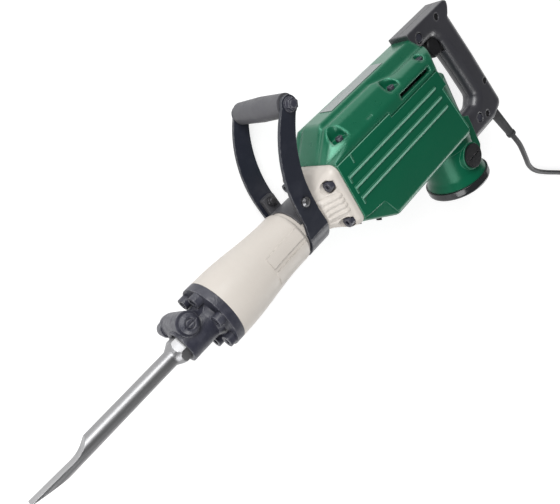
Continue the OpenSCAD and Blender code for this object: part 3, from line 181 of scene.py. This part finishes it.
def finish(name, colour, roughness, metallic=0.0, rounding=0.0006, shine=0.5):
    """A principled finish whose edges are softened by a bevel of the given radius in metres."""
    mat = bpy.data.materials.new(name)
    mat.use_nodes = True
    nodes, links = mat.node_tree.nodes, mat.node_tree.links
    shader = nodes["Principled BSDF"]
    shader.inputs["Base Color"].default_value = (*colour, 1.0)
    shader.inputs["Roughness"].default_value = roughness
    shader.inputs["Metallic"].default_value = metallic
    shader.inputs["Specular IOR Level"].default_value = shine
    worked_edge = nodes.new("ShaderNodeBevel")
    worked_edge.samples = bevel_samples
    worked_edge.inputs["Radius"].default_value = rounding
    links.new(worked_edge.outputs["Normal"], shader.inputs["Normal"])
    return mat


def grain(mat, scale, detail=4.0, stretch=(1.0, 1.0, 1.0)):
    """Noise on Object coordinates, each first multiplied by its stretch; gives its socket."""
    nodes, links = mat.node_tree.nodes, mat.node_tree.links
    place = nodes.new("ShaderNodeTexCoord")
    stretched = nodes.new("ShaderNodeMapping")
    stretched.inputs["Scale"].default_value = stretch
    noise = nodes.new("ShaderNodeTexNoise")
    noise.inputs["Scale"].default_value = scale
    noise.inputs["Detail"].default_value = detail
    links.new(place.outputs["Object"], stretched.inputs["Vector"])
    links.new(stretched.outputs["Vector"], noise.inputs["Vector"])
    return noise.outputs["Fac"]


def ramp(mat, factor, start, stop, low=0.0, high=1.0):
    """A factor between start and stop carried over to low and high, and clamped there."""
    step = mat.node_tree.nodes.new("ShaderNodeMapRange")
    step.inputs["From Min"].default_value = start
    step.inputs["From Max"].default_value = stop
    step.inputs["To Min"].default_value = low
    step.inputs["To Max"].default_value = high
    mat.node_tree.links.new(factor, step.inputs["Value"])
    return step.outputs["Result"]


def lay_over(mat, factor, colour):
    """Mixes a second colour over the finish, by as much as the factor says."""
    nodes, links = mat.node_tree.nodes, mat.node_tree.links
    base = nodes["Principled BSDF"].inputs["Base Color"]
    over = nodes.new("ShaderNodeMix")
    over.data_type = "RGBA"
    share, below, above, both = over.inputs[0], over.inputs[6], over.inputs[7], over.outputs[2]
    if base.is_linked:
        links.new(base.links[0].from_socket, below)
    else:
        below.default_value = base.default_value
    above.default_value = (*colour, 1.0)
    links.new(factor, share)
    links.new(both, base)


def mottle(mat, colour, scale, detail=4.0, span=(0.45, 0.8), most=1.0, stretch=(1.0, 1.0, 1.0)):
    """Clouds of a second colour: none below the noise's span, rising to the most above it."""
    lay_over(mat, ramp(mat, grain(mat, scale, detail, stretch), *span, 0.0, most), colour)


def sheen_of(mat, noise, smooth, dull, span=(0.3, 0.7)):
    """Roughness that rises from smooth to dull as the noise crosses its span."""
    roughness = mat.node_tree.nodes["Principled BSDF"].inputs["Roughness"]
    mat.node_tree.links.new(ramp(mat, noise, *span, smooth, dull), roughness)


def relief(mat, factor, depth):
    """Raises the surface by up to depth metres where factor is high, over the softened edges."""
    nodes, links = mat.node_tree.nodes, mat.node_tree.links
    normal = nodes["Principled BSDF"].inputs["Normal"]
    raised = nodes.new("ShaderNodeBump")
    raised.inputs["Strength"].default_value = 1.0
    raised.inputs["Distance"].default_value = depth
    links.new(factor, raised.inputs["Height"])
    links.new(normal.links[0].from_socket, raised.inputs["Normal"])
    links.new(raised.outputs["Normal"], normal)


def edge_wear_and_highlight(mat, colour, width, sharp=7.0, gaps=(0.42, 0.62)):
    """A colour on edges: how far a bevel of that width turns the normal, times a gappy noise."""
    nodes, links = mat.node_tree.nodes, mat.node_tree.links
    wide = nodes.new("ShaderNodeBevel")
    wide.samples = bevel_samples
    wide.inputs["Radius"].default_value = width
    flat = nodes.new("ShaderNodeNewGeometry")
    turned = nodes.new("ShaderNodeVectorMath")
    turned.operation = "DOT_PRODUCT"
    links.new(wide.outputs["Normal"], turned.inputs[0])
    links.new(flat.outputs["Normal"], turned.inputs[1])
    edge = ramp(mat, turned.outputs["Value"], 1.0, 1.0 - 1.0 / sharp)
    broken = ramp(mat, grain(mat, scale=160.0, detail=6.0), *gaps)
    both = nodes.new("ShaderNodeMath")
    both.operation = "MULTIPLY"
    links.new(edge, both.inputs[0])
    links.new(broken, both.inputs[1])
    lay_over(mat, both.outputs[0], colour)


def dress(mat, *names):
    """Puts a finish on CAD nodes."""
    for name in names:
        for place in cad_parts[name].material_slots:
            place.material = mat


sharp_fold, weld_distance = math.radians(33.0), 1e-6
skin_group = bpy.data.node_groups.new("melted_facets", "GeometryNodeTree")
for way in ("INPUT", "OUTPUT"):
    skin_group.interface.new_socket("Geometry", in_out=way, socket_type="NodeSocketGeometry")
skin_steps = [skin_group.nodes.new(kind) for kind in (
    "NodeGroupInput", "GeometryNodeRemoveAttribute", "GeometryNodeMergeByDistance",
    "GeometryNodeSetShadeSmooth", "GeometryNodeSetShadeSmooth", "NodeGroupOutput")]
for before, after in zip(skin_steps, skin_steps[1:]):
    skin_group.links.new(before.outputs[0], after.inputs[0])
old_normals, weld, _, sharp_edges = skin_steps[1:5]
old_normals.inputs["Name"].default_value = "custom_normal"
weld.inputs["Distance"].default_value = weld_distance
sharp_edges.domain = "EDGE"
sharp_edges.inputs["Shade Smooth"].default_value = False
fold = skin_group.nodes.new("GeometryNodeInputMeshEdgeAngle")
crease = skin_group.nodes.new("FunctionNodeCompare")
crease.operation = "GREATER_THAN"
crease.inputs["B"].default_value = sharp_fold
skin_group.links.new(fold.outputs["Unsigned Angle"], crease.inputs["A"])
skin_group.links.new(crease.outputs["Result"], sharp_edges.inputs["Selection"])


def melt_facets(*names):
    """Shades CAD nodes as one skin, in which only edges past the sharp fold stay sharp."""
    for name in names:
        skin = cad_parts[name].modifiers.new("melted_facets", "NODES")
        skin.node_group = skin_group
        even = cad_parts[name].modifiers.new("even_shading", "WEIGHTED_NORMAL")
        even.keep_sharp = True


ground_steel = finish("ground_steel", (0.29, 0.29, 0.295), roughness=0.4, metallic=1.0,
                      rounding=0.0014)
draw_marks = grain(ground_steel, scale=90.0, detail=6.0, stretch=(0.06, 1.0, 1.0))
mottle(ground_steel, (0.22, 0.22, 0.23), scale=24.0, detail=5.0, span=(0.48, 0.75),
       stretch=(0.3, 1.0, 1.0))
sheen_of(ground_steel, draw_marks, smooth=0.34, dull=0.48)
relief(ground_steel, draw_marks, depth=0.00012)
dress(ground_steel, "chisel")
melt_facets("chisel")

# Front cover and tool retainer. Iron castings, phosphated almost black with a blue cast; bolts hold
# the cover to the barrel, and the retainer turns in its cross drum. The cast skin stays grainy, and
# handling rubs the raised edges grey. Bolts elsewhere on the tool are blacked in the same way.
black_iron = finish("black_iron", (0.028, 0.029, 0.044), roughness=0.42, rounding=0.0016, shine=0.6)
mottle(black_iron, (0.08, 0.081, 0.102), scale=60.0, detail=6.0, most=0.7)
edge_wear_and_highlight(black_iron, (0.16, 0.16, 0.18), width=0.0022)
sheen_of(black_iron, grain(black_iron, scale=140.0), smooth=0.3, dull=0.52)
relief(black_iron, grain(black_iron, scale=480.0, detail=3.0), depth=0.00035)
dress(black_iron, "front_cover", "front_cover_bolts", "retainer_lever", "retainer_cap",
      "crankcase_bolts", "gear_cover_screws", "handle_bolts", "grip_bolt")

# Cylinder case. An alloy casting in satin cream enamel, bolted to the housing by a rounded square
# flange with four soft ribs cast on each side. The ribs' lengths are in millimetres, with X from
# the case's front joint, Y from the hammer axis and Z from the floor.
cream_paint = finish("cream_paint", (0.64, 0.595, 0.545), roughness=0.38, rounding=0.002)
mottle(cream_paint, (0.56, 0.515, 0.465), scale=7.0, detail=5.0, span=(0.4, 0.8), most=0.5)
edge_wear_and_highlight(cream_paint, (0.4, 0.37, 0.33), width=0.0022)
sheen_of(cream_paint, grain(cream_paint, scale=90.0, detail=3.0), smooth=0.33, dull=0.46)
relief(cream_paint, grain(cream_paint, scale=520.0, detail=2.0), depth=0.00012)
dress(cream_paint, "cylinder_case")
melt_facets("cylinder_case")

origin_shift = np.array((166.0, 3.5045, 0.0))
axis_height = 58.0
ring_x = np.array((184.0, 191.0, 199.0, 207.0, 213.0))
ring_round = np.array((33.8, 34.5, 35.0, 35.0, 33.0))
ring_square = np.array((0.0, 0.13, 0.42, 0.8, 1.0))
ring_half = np.array((54.0, 54.0, 54.0, 54.0, 51.6))
rib_rows = np.array((-10.0, -2.0, 6.0, 14.0))
rib_rise, rib_sunk, rib_reach, rib_thickness = 1.0, 0.8, 5.0, 3.0
rib_front, rib_back, rib_low, rib_high = 185.0, 213.0, -16.0, 20.0
front_run_out, back_run_out = 4.0, 2.5
steps_along, steps_across, settling_rounds = 57, 109, 4


def flange_side(x, y):
    """Half width of the flange, where the neck's circle opens into a rounded square: their shares
    are mixed along the ray through the point, which is found in a few rounds."""
    rows = ring_round, ring_square, ring_half
    circle, square, half = (np.interp(x, ring_x, row) for row in rows)
    spread = np.ones_like(y)
    for _ in range(settling_rounds):
        spread = circle * (1 - square) / np.hypot(y / spread, half) + square
    return half * spread


def soft_step(t):
    """Rises from 0 to 1 with level ends as t does: three times its square less twice its cube."""
    t = np.clip(t, 0, 1)
    return t * t * (3 - 2 * t)


rib_x, rib_y = np.meshgrid(np.linspace(rib_front, rib_back, steps_along),
                           np.linspace(rib_low, rib_high, steps_across), indexing="ij")
nearest = np.min(np.abs(rib_y[..., None] - rib_rows), axis=-1)
swell = np.cos(np.pi * np.minimum(nearest, rib_reach) / (2 * rib_reach)) ** 2
swell *= (soft_step((rib_x - rib_front) / front_run_out)
          * soft_step((rib_back - rib_x) / back_run_out))
rib_z = flange_side(rib_x, rib_y) + (rib_rise + rib_sunk) * swell - rib_sunk
near_side = np.stack((rib_x, rib_y, axis_height + rib_z), axis=-1).reshape(-1, 3)
far_side = np.stack((rib_x, rib_y, axis_height - rib_z), axis=-1).reshape(-1, 3)
rows, columns = rib_x.shape
first_corner = (np.arange(rows - 1)[:, None] * columns + np.arange(columns - 1)).reshape(-1, 1)
near_faces = first_corner + np.array((0, columns, columns + 1, 1))
far_faces = near_faces[:, ::-1] + rows * columns
rib_points = (np.concatenate((near_side, far_side)) - origin_shift) / 1000
rib_faces = np.concatenate((near_faces, far_faces))
flange_ribs = smooth_piece("flange_ribs", rib_points, rib_faces.tolist())
flange_ribs.data.materials.append(cream_paint)
rib_wall = flange_ribs.modifiers.new("wall", "SOLIDIFY")
rib_wall.thickness = rib_thickness / 1000
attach(flange_ribs, "machine")

# Impact train, gears and motor. Turned and hobbed steel, a cast alloy plate and rod, copper
# windings, brass holders and rubber rings; all of it runs in grease inside the castings.
machined_steel = finish("machined_steel", (0.5, 0.505, 0.515), roughness=0.3, metallic=1.0,
                        rounding=0.0004)
turning = grain(machined_steel, scale=300.0, detail=3.0, stretch=(1.0, 0.1, 0.1))
sheen_of(machined_steel, turning, smooth=0.22, dull=0.4)
mottle(machined_steel, (0.34, 0.33, 0.32), scale=30.0, span=(0.5, 0.8), most=0.6)
relief(machined_steel, turning, depth=0.00006)
dress(machined_steel, "hammer_holder", "second_hammer", "cylinder_liner", "striker", "piston_pin",
      "crankshaft", "crank_gear", "crank_bearings", "intermediate_shaft", "first_gear",
      "intermediate_bearings", "armature_shaft", "armature_core", "motor_bearings",
      "tail_cover_screws")
cast_alloy = finish("cast_alloy", (0.52, 0.525, 0.53), roughness=0.45, metallic=1.0, rounding=0.001)
relief(cast_alloy, grain(cast_alloy, scale=380.0, detail=3.0), depth=0.0002)
mottle(cast_alloy, (0.4, 0.4, 0.4), scale=40.0, span=(0.5, 0.8))
dress(cast_alloy, "piston", "connecting_rod", "gear_plate")
wound_copper = finish("wound_copper", (0.55, 0.24, 0.11), roughness=0.36, metallic=1.0)
windings = grain(wound_copper, scale=260.0, detail=2.0, stretch=(1.0, 0.08, 1.0))
relief(wound_copper, windings, depth=0.0004)
mottle(wound_copper, (0.32, 0.13, 0.06), scale=45.0, span=(0.45, 0.75))
dress(wound_copper, "commutator", "stator")
plain_brass = finish("plain_brass", (0.6, 0.44, 0.17), roughness=0.3, metallic=1.0)
sheen_of(plain_brass, grain(plain_brass, scale=150.0), smooth=0.22, dull=0.4)
mottle(plain_brass, (0.42, 0.3, 0.12), scale=60.0, span=(0.5, 0.8))
dress(plain_brass, "brush_holders", "plug_pins")
inner_rubber = finish("inner_rubber", (0.025, 0.025, 0.027), roughness=0.6)
relief(inner_rubber, grain(inner_rubber, scale=700.0, detail=2.0), depth=0.0001)
dress(inner_rubber, "damper_ring", "striker_rings", "piston_rings")

# Gear housing and gear cover. Alloy castings in deep green enamel, screwed together along a parting
# ledge. The enamel is glossier than the barrel's, with a slight orange peel. Its edges, the tops of
# the side ribs and the ledge carry pale green painted highlights.
highlight_green = (0.18, 0.39, 0.29)


def green_enamel(name, rounding, gloss, coat, smooth, dull):
    """Deep green enamel over edges of the given radius; its roughness runs from smooth to dull."""
    paint = finish(name, (0.003, 0.105, 0.051), roughness=0.34, rounding=rounding, shine=gloss)
    shader = paint.node_tree.nodes["Principled BSDF"]
    shader.inputs["Specular Tint"].default_value = (0.35, 1.0, 0.7, 1.0)
    shader.inputs["Coat Weight"].default_value = coat
    shader.inputs["Coat Roughness"].default_value = smooth
    mottle(paint, (0.003, 0.08, 0.04), scale=6.0, span=(0.4, 0.8), most=0.6)
    # Painted highlight: a pale green line along the enamel's edges, where lamplight would catch
    # them.
    edge_wear_and_highlight(paint, (0.2, 0.42, 0.32), width=0.0016, sharp=2.6, gaps=(0.0, 0.25))
    sheen_of(paint, grain(paint, scale=70.0, detail=3.0), smooth, dull)
    relief(paint, grain(paint, scale=260.0, detail=2.0), depth=0.0001)
    return paint


def beyond(mat, axis, centre, start, stop):
    """Rises from 0 to 1 as the distance from centre along an axis grows from start to stop."""
    nodes, links = mat.node_tree.nodes, mat.node_tree.links
    place = nodes.new("ShaderNodeTexCoord")
    along = nodes.new("ShaderNodeSeparateXYZ")
    links.new(place.outputs["Object"], along.inputs[0])
    away = nodes.new("ShaderNodeMath")
    away.operation = "SUBTRACT"
    links.new(along.outputs[axis], away.inputs[0])
    away.inputs[1].default_value = centre
    length = nodes.new("ShaderNodeMath")
    length.operation = "ABSOLUTE"
    links.new(away.outputs[0], length.inputs[0])
    return ramp(mat, length.outputs[0], start, stop)


housing_paint = green_enamel("green_housing", rounding=0.002, gloss=0.35, coat=0.1,
                             smooth=0.29, dull=0.32)
# Painted highlights: pale green on the tops of the side ribs and on the parting ledge.
rib_top_highlight = beyond(housing_paint, "Z", centre=0.058, start=0.0575, stop=0.0579)
ledge_highlight = beyond(housing_paint, "Y", centre=-0.2, start=0.2443, stop=0.2446)
lay_over(housing_paint, rib_top_highlight, highlight_green)
lay_over(housing_paint, ledge_highlight, highlight_green)
dress(housing_paint, "housing")
cover_paint = green_enamel("green_cover", rounding=0.007, gloss=1.0, coat=0.35,
                           smooth=0.27, dull=0.31)
dress(cover_paint, "gear_cover")
melt_facets("housing", "gear_cover")

# Plate on the crest. A thin plain strip of anodised alloy, brushed lengthwise to a satin sheen and
# glued onto the flat of the gear cover's crest.
bare_plate = finish("bare_plate", (0.3, 0.33, 0.325), roughness=0.34, metallic=0.35,
                    rounding=0.0005)
brushing = grain(bare_plate, scale=200.0, stretch=(0.05, 1.0, 1.0))
scratches = grain(bare_plate, scale=420.0, detail=3.0, stretch=(0.04, 1.0, 1.0))
sheen_of(bare_plate, brushing, smooth=0.25, dull=0.4)
relief(bare_plate, scratches, depth=0.00003)
mottle(bare_plate, (0.36, 0.39, 0.385), scale=9.0, span=(0.45, 0.75))
dress(bare_plate, "name_plate")

# Small black mouldings. Grease cover, brush caps, trigger, switch, cord tie and fan, moulded in
# black plastic with a fine matt skin and screwed or pressed into place. The carbon brushes and the
# small screws of the handle and grease cover are as black.
black_moulding = finish("black_moulding", (0.011, 0.011, 0.0125), roughness=0.42,
                        rounding=0.0009, shine=0.32)
mottle(black_moulding, (0.02, 0.02, 0.022), scale=35.0)
sheen_of(black_moulding, grain(black_moulding, scale=180.0), smooth=0.34, dull=0.5)
relief(black_moulding, grain(black_moulding, scale=620.0, detail=2.0), depth=0.0001)
dress(black_moulding, "grease_cover", "grease_cover_screws", "brush_caps", "trigger", "switch",
      "cord_tie", "cooling_fan", "carbon_brushes", "handle_screws")

# Return spring. Round spring wire wound into five turns, between the trigger's pocket and the
# switch. A ring of points is carried along the wire's helix.
wire_radius, wire_turns, trigger_travel = 0.0006, 5, 0.007
steps_a_turn, wire_sides = 24, 8
spring_low, spring_high = (np.array(corner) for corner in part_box("trigger_spring"))
spring_middle = (spring_low + spring_high) / 2
spring_front, spring_back = spring_low[0] + wire_radius, spring_high[0] - wire_radius
wound_radius = (spring_high[2] - spring_low[2]) / 2 - wire_radius
along = np.linspace(0.0, 1.0, steps_a_turn * wire_turns + 1)[:, None]
wound = 2 * np.pi * wire_turns * along
outward = np.concatenate((0 * wound, np.cos(wound), np.sin(wound)), axis=1)
round_speed = 2 * np.pi * wire_turns * wound_radius
onward = np.concatenate((0 * wound + spring_back - spring_front, -round_speed * np.sin(wound),
                         round_speed * np.cos(wound)), axis=1)
onward /= np.linalg.norm(onward, axis=1, keepdims=True)
sideways = np.cross(onward, outward)
wire_line = wound_radius * outward
wire_line += np.array((1.0, 0.0, 0.0)) * (spring_front + (spring_back - spring_front) * along)
wire_line += np.array((0.0, 1.0, 1.0)) * spring_middle
about = np.linspace(0.0, 2 * np.pi, wire_sides, endpoint=False)[None, :, None]
wire_rings = wire_line[:, None] + wire_radius * (np.cos(about) * outward[:, None]
                                                 + np.sin(about) * sideways[:, None])
rings, sides = wire_rings.shape[:2]
first = np.arange(rings - 1)[:, None] * sides + np.arange(sides)
second = np.arange(rings - 1)[:, None] * sides + np.roll(np.arange(sides), -1)
wire_skin = np.stack((first, second, second + sides, first + sides), axis=-1).reshape(-1, 4)
wire_ends = [list(range(sides))[::-1], list(range((rings - 1) * sides, rings * sides))]
return_spring = smooth_piece("return_spring", wire_rings.reshape(-1, 3),
                             wire_skin.tolist() + wire_ends)
return_spring.data.materials.append(machined_steel)
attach(return_spring, "machine")
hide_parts("trigger_spring")
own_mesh(return_spring)

# Tail cover. A round black moulding with air slots, which closes the motor's lower end and is held
# by bright screws; its skin comes polished from the mould.
tail_black = finish("tail_black", (0.016, 0.018, 0.02), roughness=0.16, rounding=0.002)
mottle(tail_black, (0.03, 0.032, 0.034), scale=50.0, span=(0.5, 0.8))
sheen_of(tail_black, grain(tail_black, scale=120.0), smooth=0.1, dull=0.24)
relief(tail_black, grain(tail_black, scale=300.0, detail=2.0), depth=0.00005)
dress(tail_black, "tail_cover")

# Side handle. A strap of blued steel bent round the barrel's neck, a pressed grey saddle that two
# zinc-plated bolts draw tight, and a grip of grey rubber between the strap's ends.
blued_steel = finish("blued_steel", (0.016, 0.0185, 0.029), roughness=0.36, rounding=0.0012)
mottle(blued_steel, (0.03, 0.033, 0.046), scale=30.0, detail=5.0)
edge_wear_and_highlight(blued_steel, (0.16, 0.165, 0.18), width=0.0016)
sheen_of(blued_steel, grain(blued_steel, scale=120.0), smooth=0.28, dull=0.33)
relief(blued_steel, grain(blued_steel, scale=420.0, detail=2.0), depth=0.0001)
dress(blued_steel, "side_strap")
pressed_grey = finish("pressed_grey", (0.1, 0.1, 0.108), roughness=0.38, metallic=0.2,
                      rounding=0.0012)
mottle(pressed_grey, (0.07, 0.07, 0.077), scale=30.0, detail=5.0)
relief(pressed_grey, grain(pressed_grey, scale=300.0, detail=2.0), depth=0.0001)
dress(pressed_grey, "clamp_saddle")
clamp_zinc = finish("clamp_zinc", (0.2, 0.2, 0.21), roughness=0.36, metallic=1.0, rounding=0.0008)
mottle(clamp_zinc, (0.12, 0.12, 0.125), scale=60.0, detail=5.0)
sheen_of(clamp_zinc, grain(clamp_zinc, scale=200.0), smooth=0.3, dull=0.45)
relief(clamp_zinc, grain(clamp_zinc, scale=500.0, detail=2.0), depth=0.00006)
dress(clamp_zinc, "clamp_bolts")
grip_rubber = finish("grip_rubber", (0.085, 0.085, 0.094), roughness=0.5, rounding=0.0012)
mottle(grip_rubber, (0.11, 0.11, 0.118), scale=25.0, detail=5.0)
sheen_of(grip_rubber, grain(grip_rubber, scale=200.0), smooth=0.45, dull=0.62)
relief(grip_rubber, grain(grip_rubber, scale=800.0, detail=2.0), depth=0.00016)
dress(grip_rubber, "side_grip")

# Rear handle. Two charcoal shells of glass-filled nylon with a fine spark-eroded grain, screwed
# together along the middle and bolted to the lugs of the castings.
charcoal = finish("charcoal_nylon", (0.034, 0.034, 0.042), roughness=0.36, rounding=0.004,
                  shine=0.9)
mottle(charcoal, (0.042, 0.042, 0.05), scale=18.0, detail=5.0)
edge_wear_and_highlight(charcoal, (0.12, 0.12, 0.13), width=0.002)
sheen_of(charcoal, grain(charcoal, scale=220.0), smooth=0.31, dull=0.37)
relief(charcoal, grain(charcoal, scale=900.0, detail=2.0), depth=0.00008)
dress(charcoal, "handle_near", "handle_far")
melt_facets("handle_near", "handle_far")

# Power cord. A rubber-sheathed lead that leaves the handle through a beaded guard, sinks to the
# floor and runs to a tied coil of two layers; the sheath is matt black and faintly dusty. Its
# lengths are in millimetres, as on the cylinder case's ribs.
cord_rubber = finish("cord_rubber", (0.03, 0.03, 0.033), roughness=0.55)
mottle(cord_rubber, (0.05, 0.05, 0.053), scale=40.0, detail=5.0)
relief(cord_rubber, grain(cord_rubber, scale=900.0, detail=2.0), depth=0.00012)
dress(cord_rubber, "cord_guard", "plug")

cord_radius, lying_height = 4.5, 6.2
handle_exit = np.array((606.0, -114.5, 58.0))
exit_turn, guard_length = math.radians(-70.0), 68.0
guard_end = handle_exit + guard_length * np.array((math.cos(exit_turn), math.sin(exit_turn), 0.0))
sinking_lead = np.array((
    (642, -206, 55), (650, -225, 50.5), (659, -243, 44), (669, -261, 36.5), (680, -278, 28),
    (693, -294, 20), (707, -310, 13.5), (722, -325, 9), (738, -339, 6.8)), float)
lying_lead = np.array((
    (754, -352), (771, -365), (788, -378), (805, -391), (822, -403), (839, -415.5), (856, -428),
    (873, -440.5), (890, -453.5)), float)
lying_lead = np.insert(lying_lead, 2, lying_height, axis=1)
coil_middle, coil_start, coil_mean = (946, -414), math.radians(233.13), 50.0
coil_pitch, layer_turns, climb_turns, coil_turns = 9.7, 3.0, 0.5, 6.5
climb_squeeze, points_a_turn = 0.2, 48
coil_outer = coil_mean + coil_pitch * layer_turns / 2
coil_inner = coil_outer - coil_pitch * layer_turns
turn = np.arange(0, coil_turns + 1e-6, 1 / points_a_turn)
climb = np.clip((turn - layer_turns) / climb_turns, 0, 1)
inward = coil_outer - coil_pitch * turn
climbing = coil_inner - climb_squeeze * coil_pitch * np.sin(2 * np.pi * (turn - layer_turns))
outgoing = coil_inner + coil_pitch * (turn - layer_turns - climb_turns)
coil_radius = np.where(turn <= layer_turns, inward,
                       np.where(turn <= layer_turns + climb_turns, climbing, outgoing))
coil_angle = coil_start + 2 * np.pi * turn
coil_line = np.stack((coil_middle[0] + coil_radius * np.cos(coil_angle),
                      coil_middle[1] + coil_radius * np.sin(coil_angle),
                      lying_height + coil_pitch * (1 - np.cos(np.pi * climb)) / 2), axis=1)
coil_way = (coil_line[-1] - coil_line[-2]) / np.linalg.norm(coil_line[-1] - coil_line[-2])
plug_root = coil_line[-1] + 2 * cord_radius * coil_way


def rounded_route(points, share=8):
    """A curve through every point: each span is a cubic whose slope at a point is half the way from
    the point before it to the point after it, cut into as many steps as its share."""
    ends = np.concatenate((points[:1], points, points[-1:]))
    a, b, c, d = (ends[k:len(ends) - 3 + k, None] for k in range(4))
    t = np.linspace(0, 1, share, endpoint=False)[None, :, None]
    spans = b + 0.5 * t * (c - a + t * (2 * a - 5 * b + 4 * c - d + t * (3 * (b - c) + d - a)))
    return np.concatenate((spans.reshape(-1, 3), points[-1:]))


guard_line = np.stack((handle_exit, (handle_exit + guard_end) / 2, guard_end))
lead_line = rounded_route(np.concatenate((guard_line, sinking_lead, lying_lead, coil_line[:1])))
cord_line = (np.concatenate((lead_line[:-1], coil_line, plug_root[None])) - origin_shift) / 1000
cord_curve = bpy.data.curves.new("power_cord", "CURVE")
cord_curve.dimensions = "3D"
cord_curve.bevel_depth = cord_radius / 1000
cord_curve.bevel_resolution = 5
cord_curve.use_fill_caps = True
strand = cord_curve.splines.new("POLY")
strand.points.add(len(cord_line) - 1)
strand.points.foreach_set("co", np.insert(cord_line, 3, 1.0, axis=1).ravel())
power_cord = bpy.data.objects.new("power_cord", cord_curve)
bpy.context.scene.collection.objects.link(power_cord)
cord_curve.materials.append(cord_rubber)
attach(power_cord, "machine")
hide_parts("cord_lead", "cord_coil")
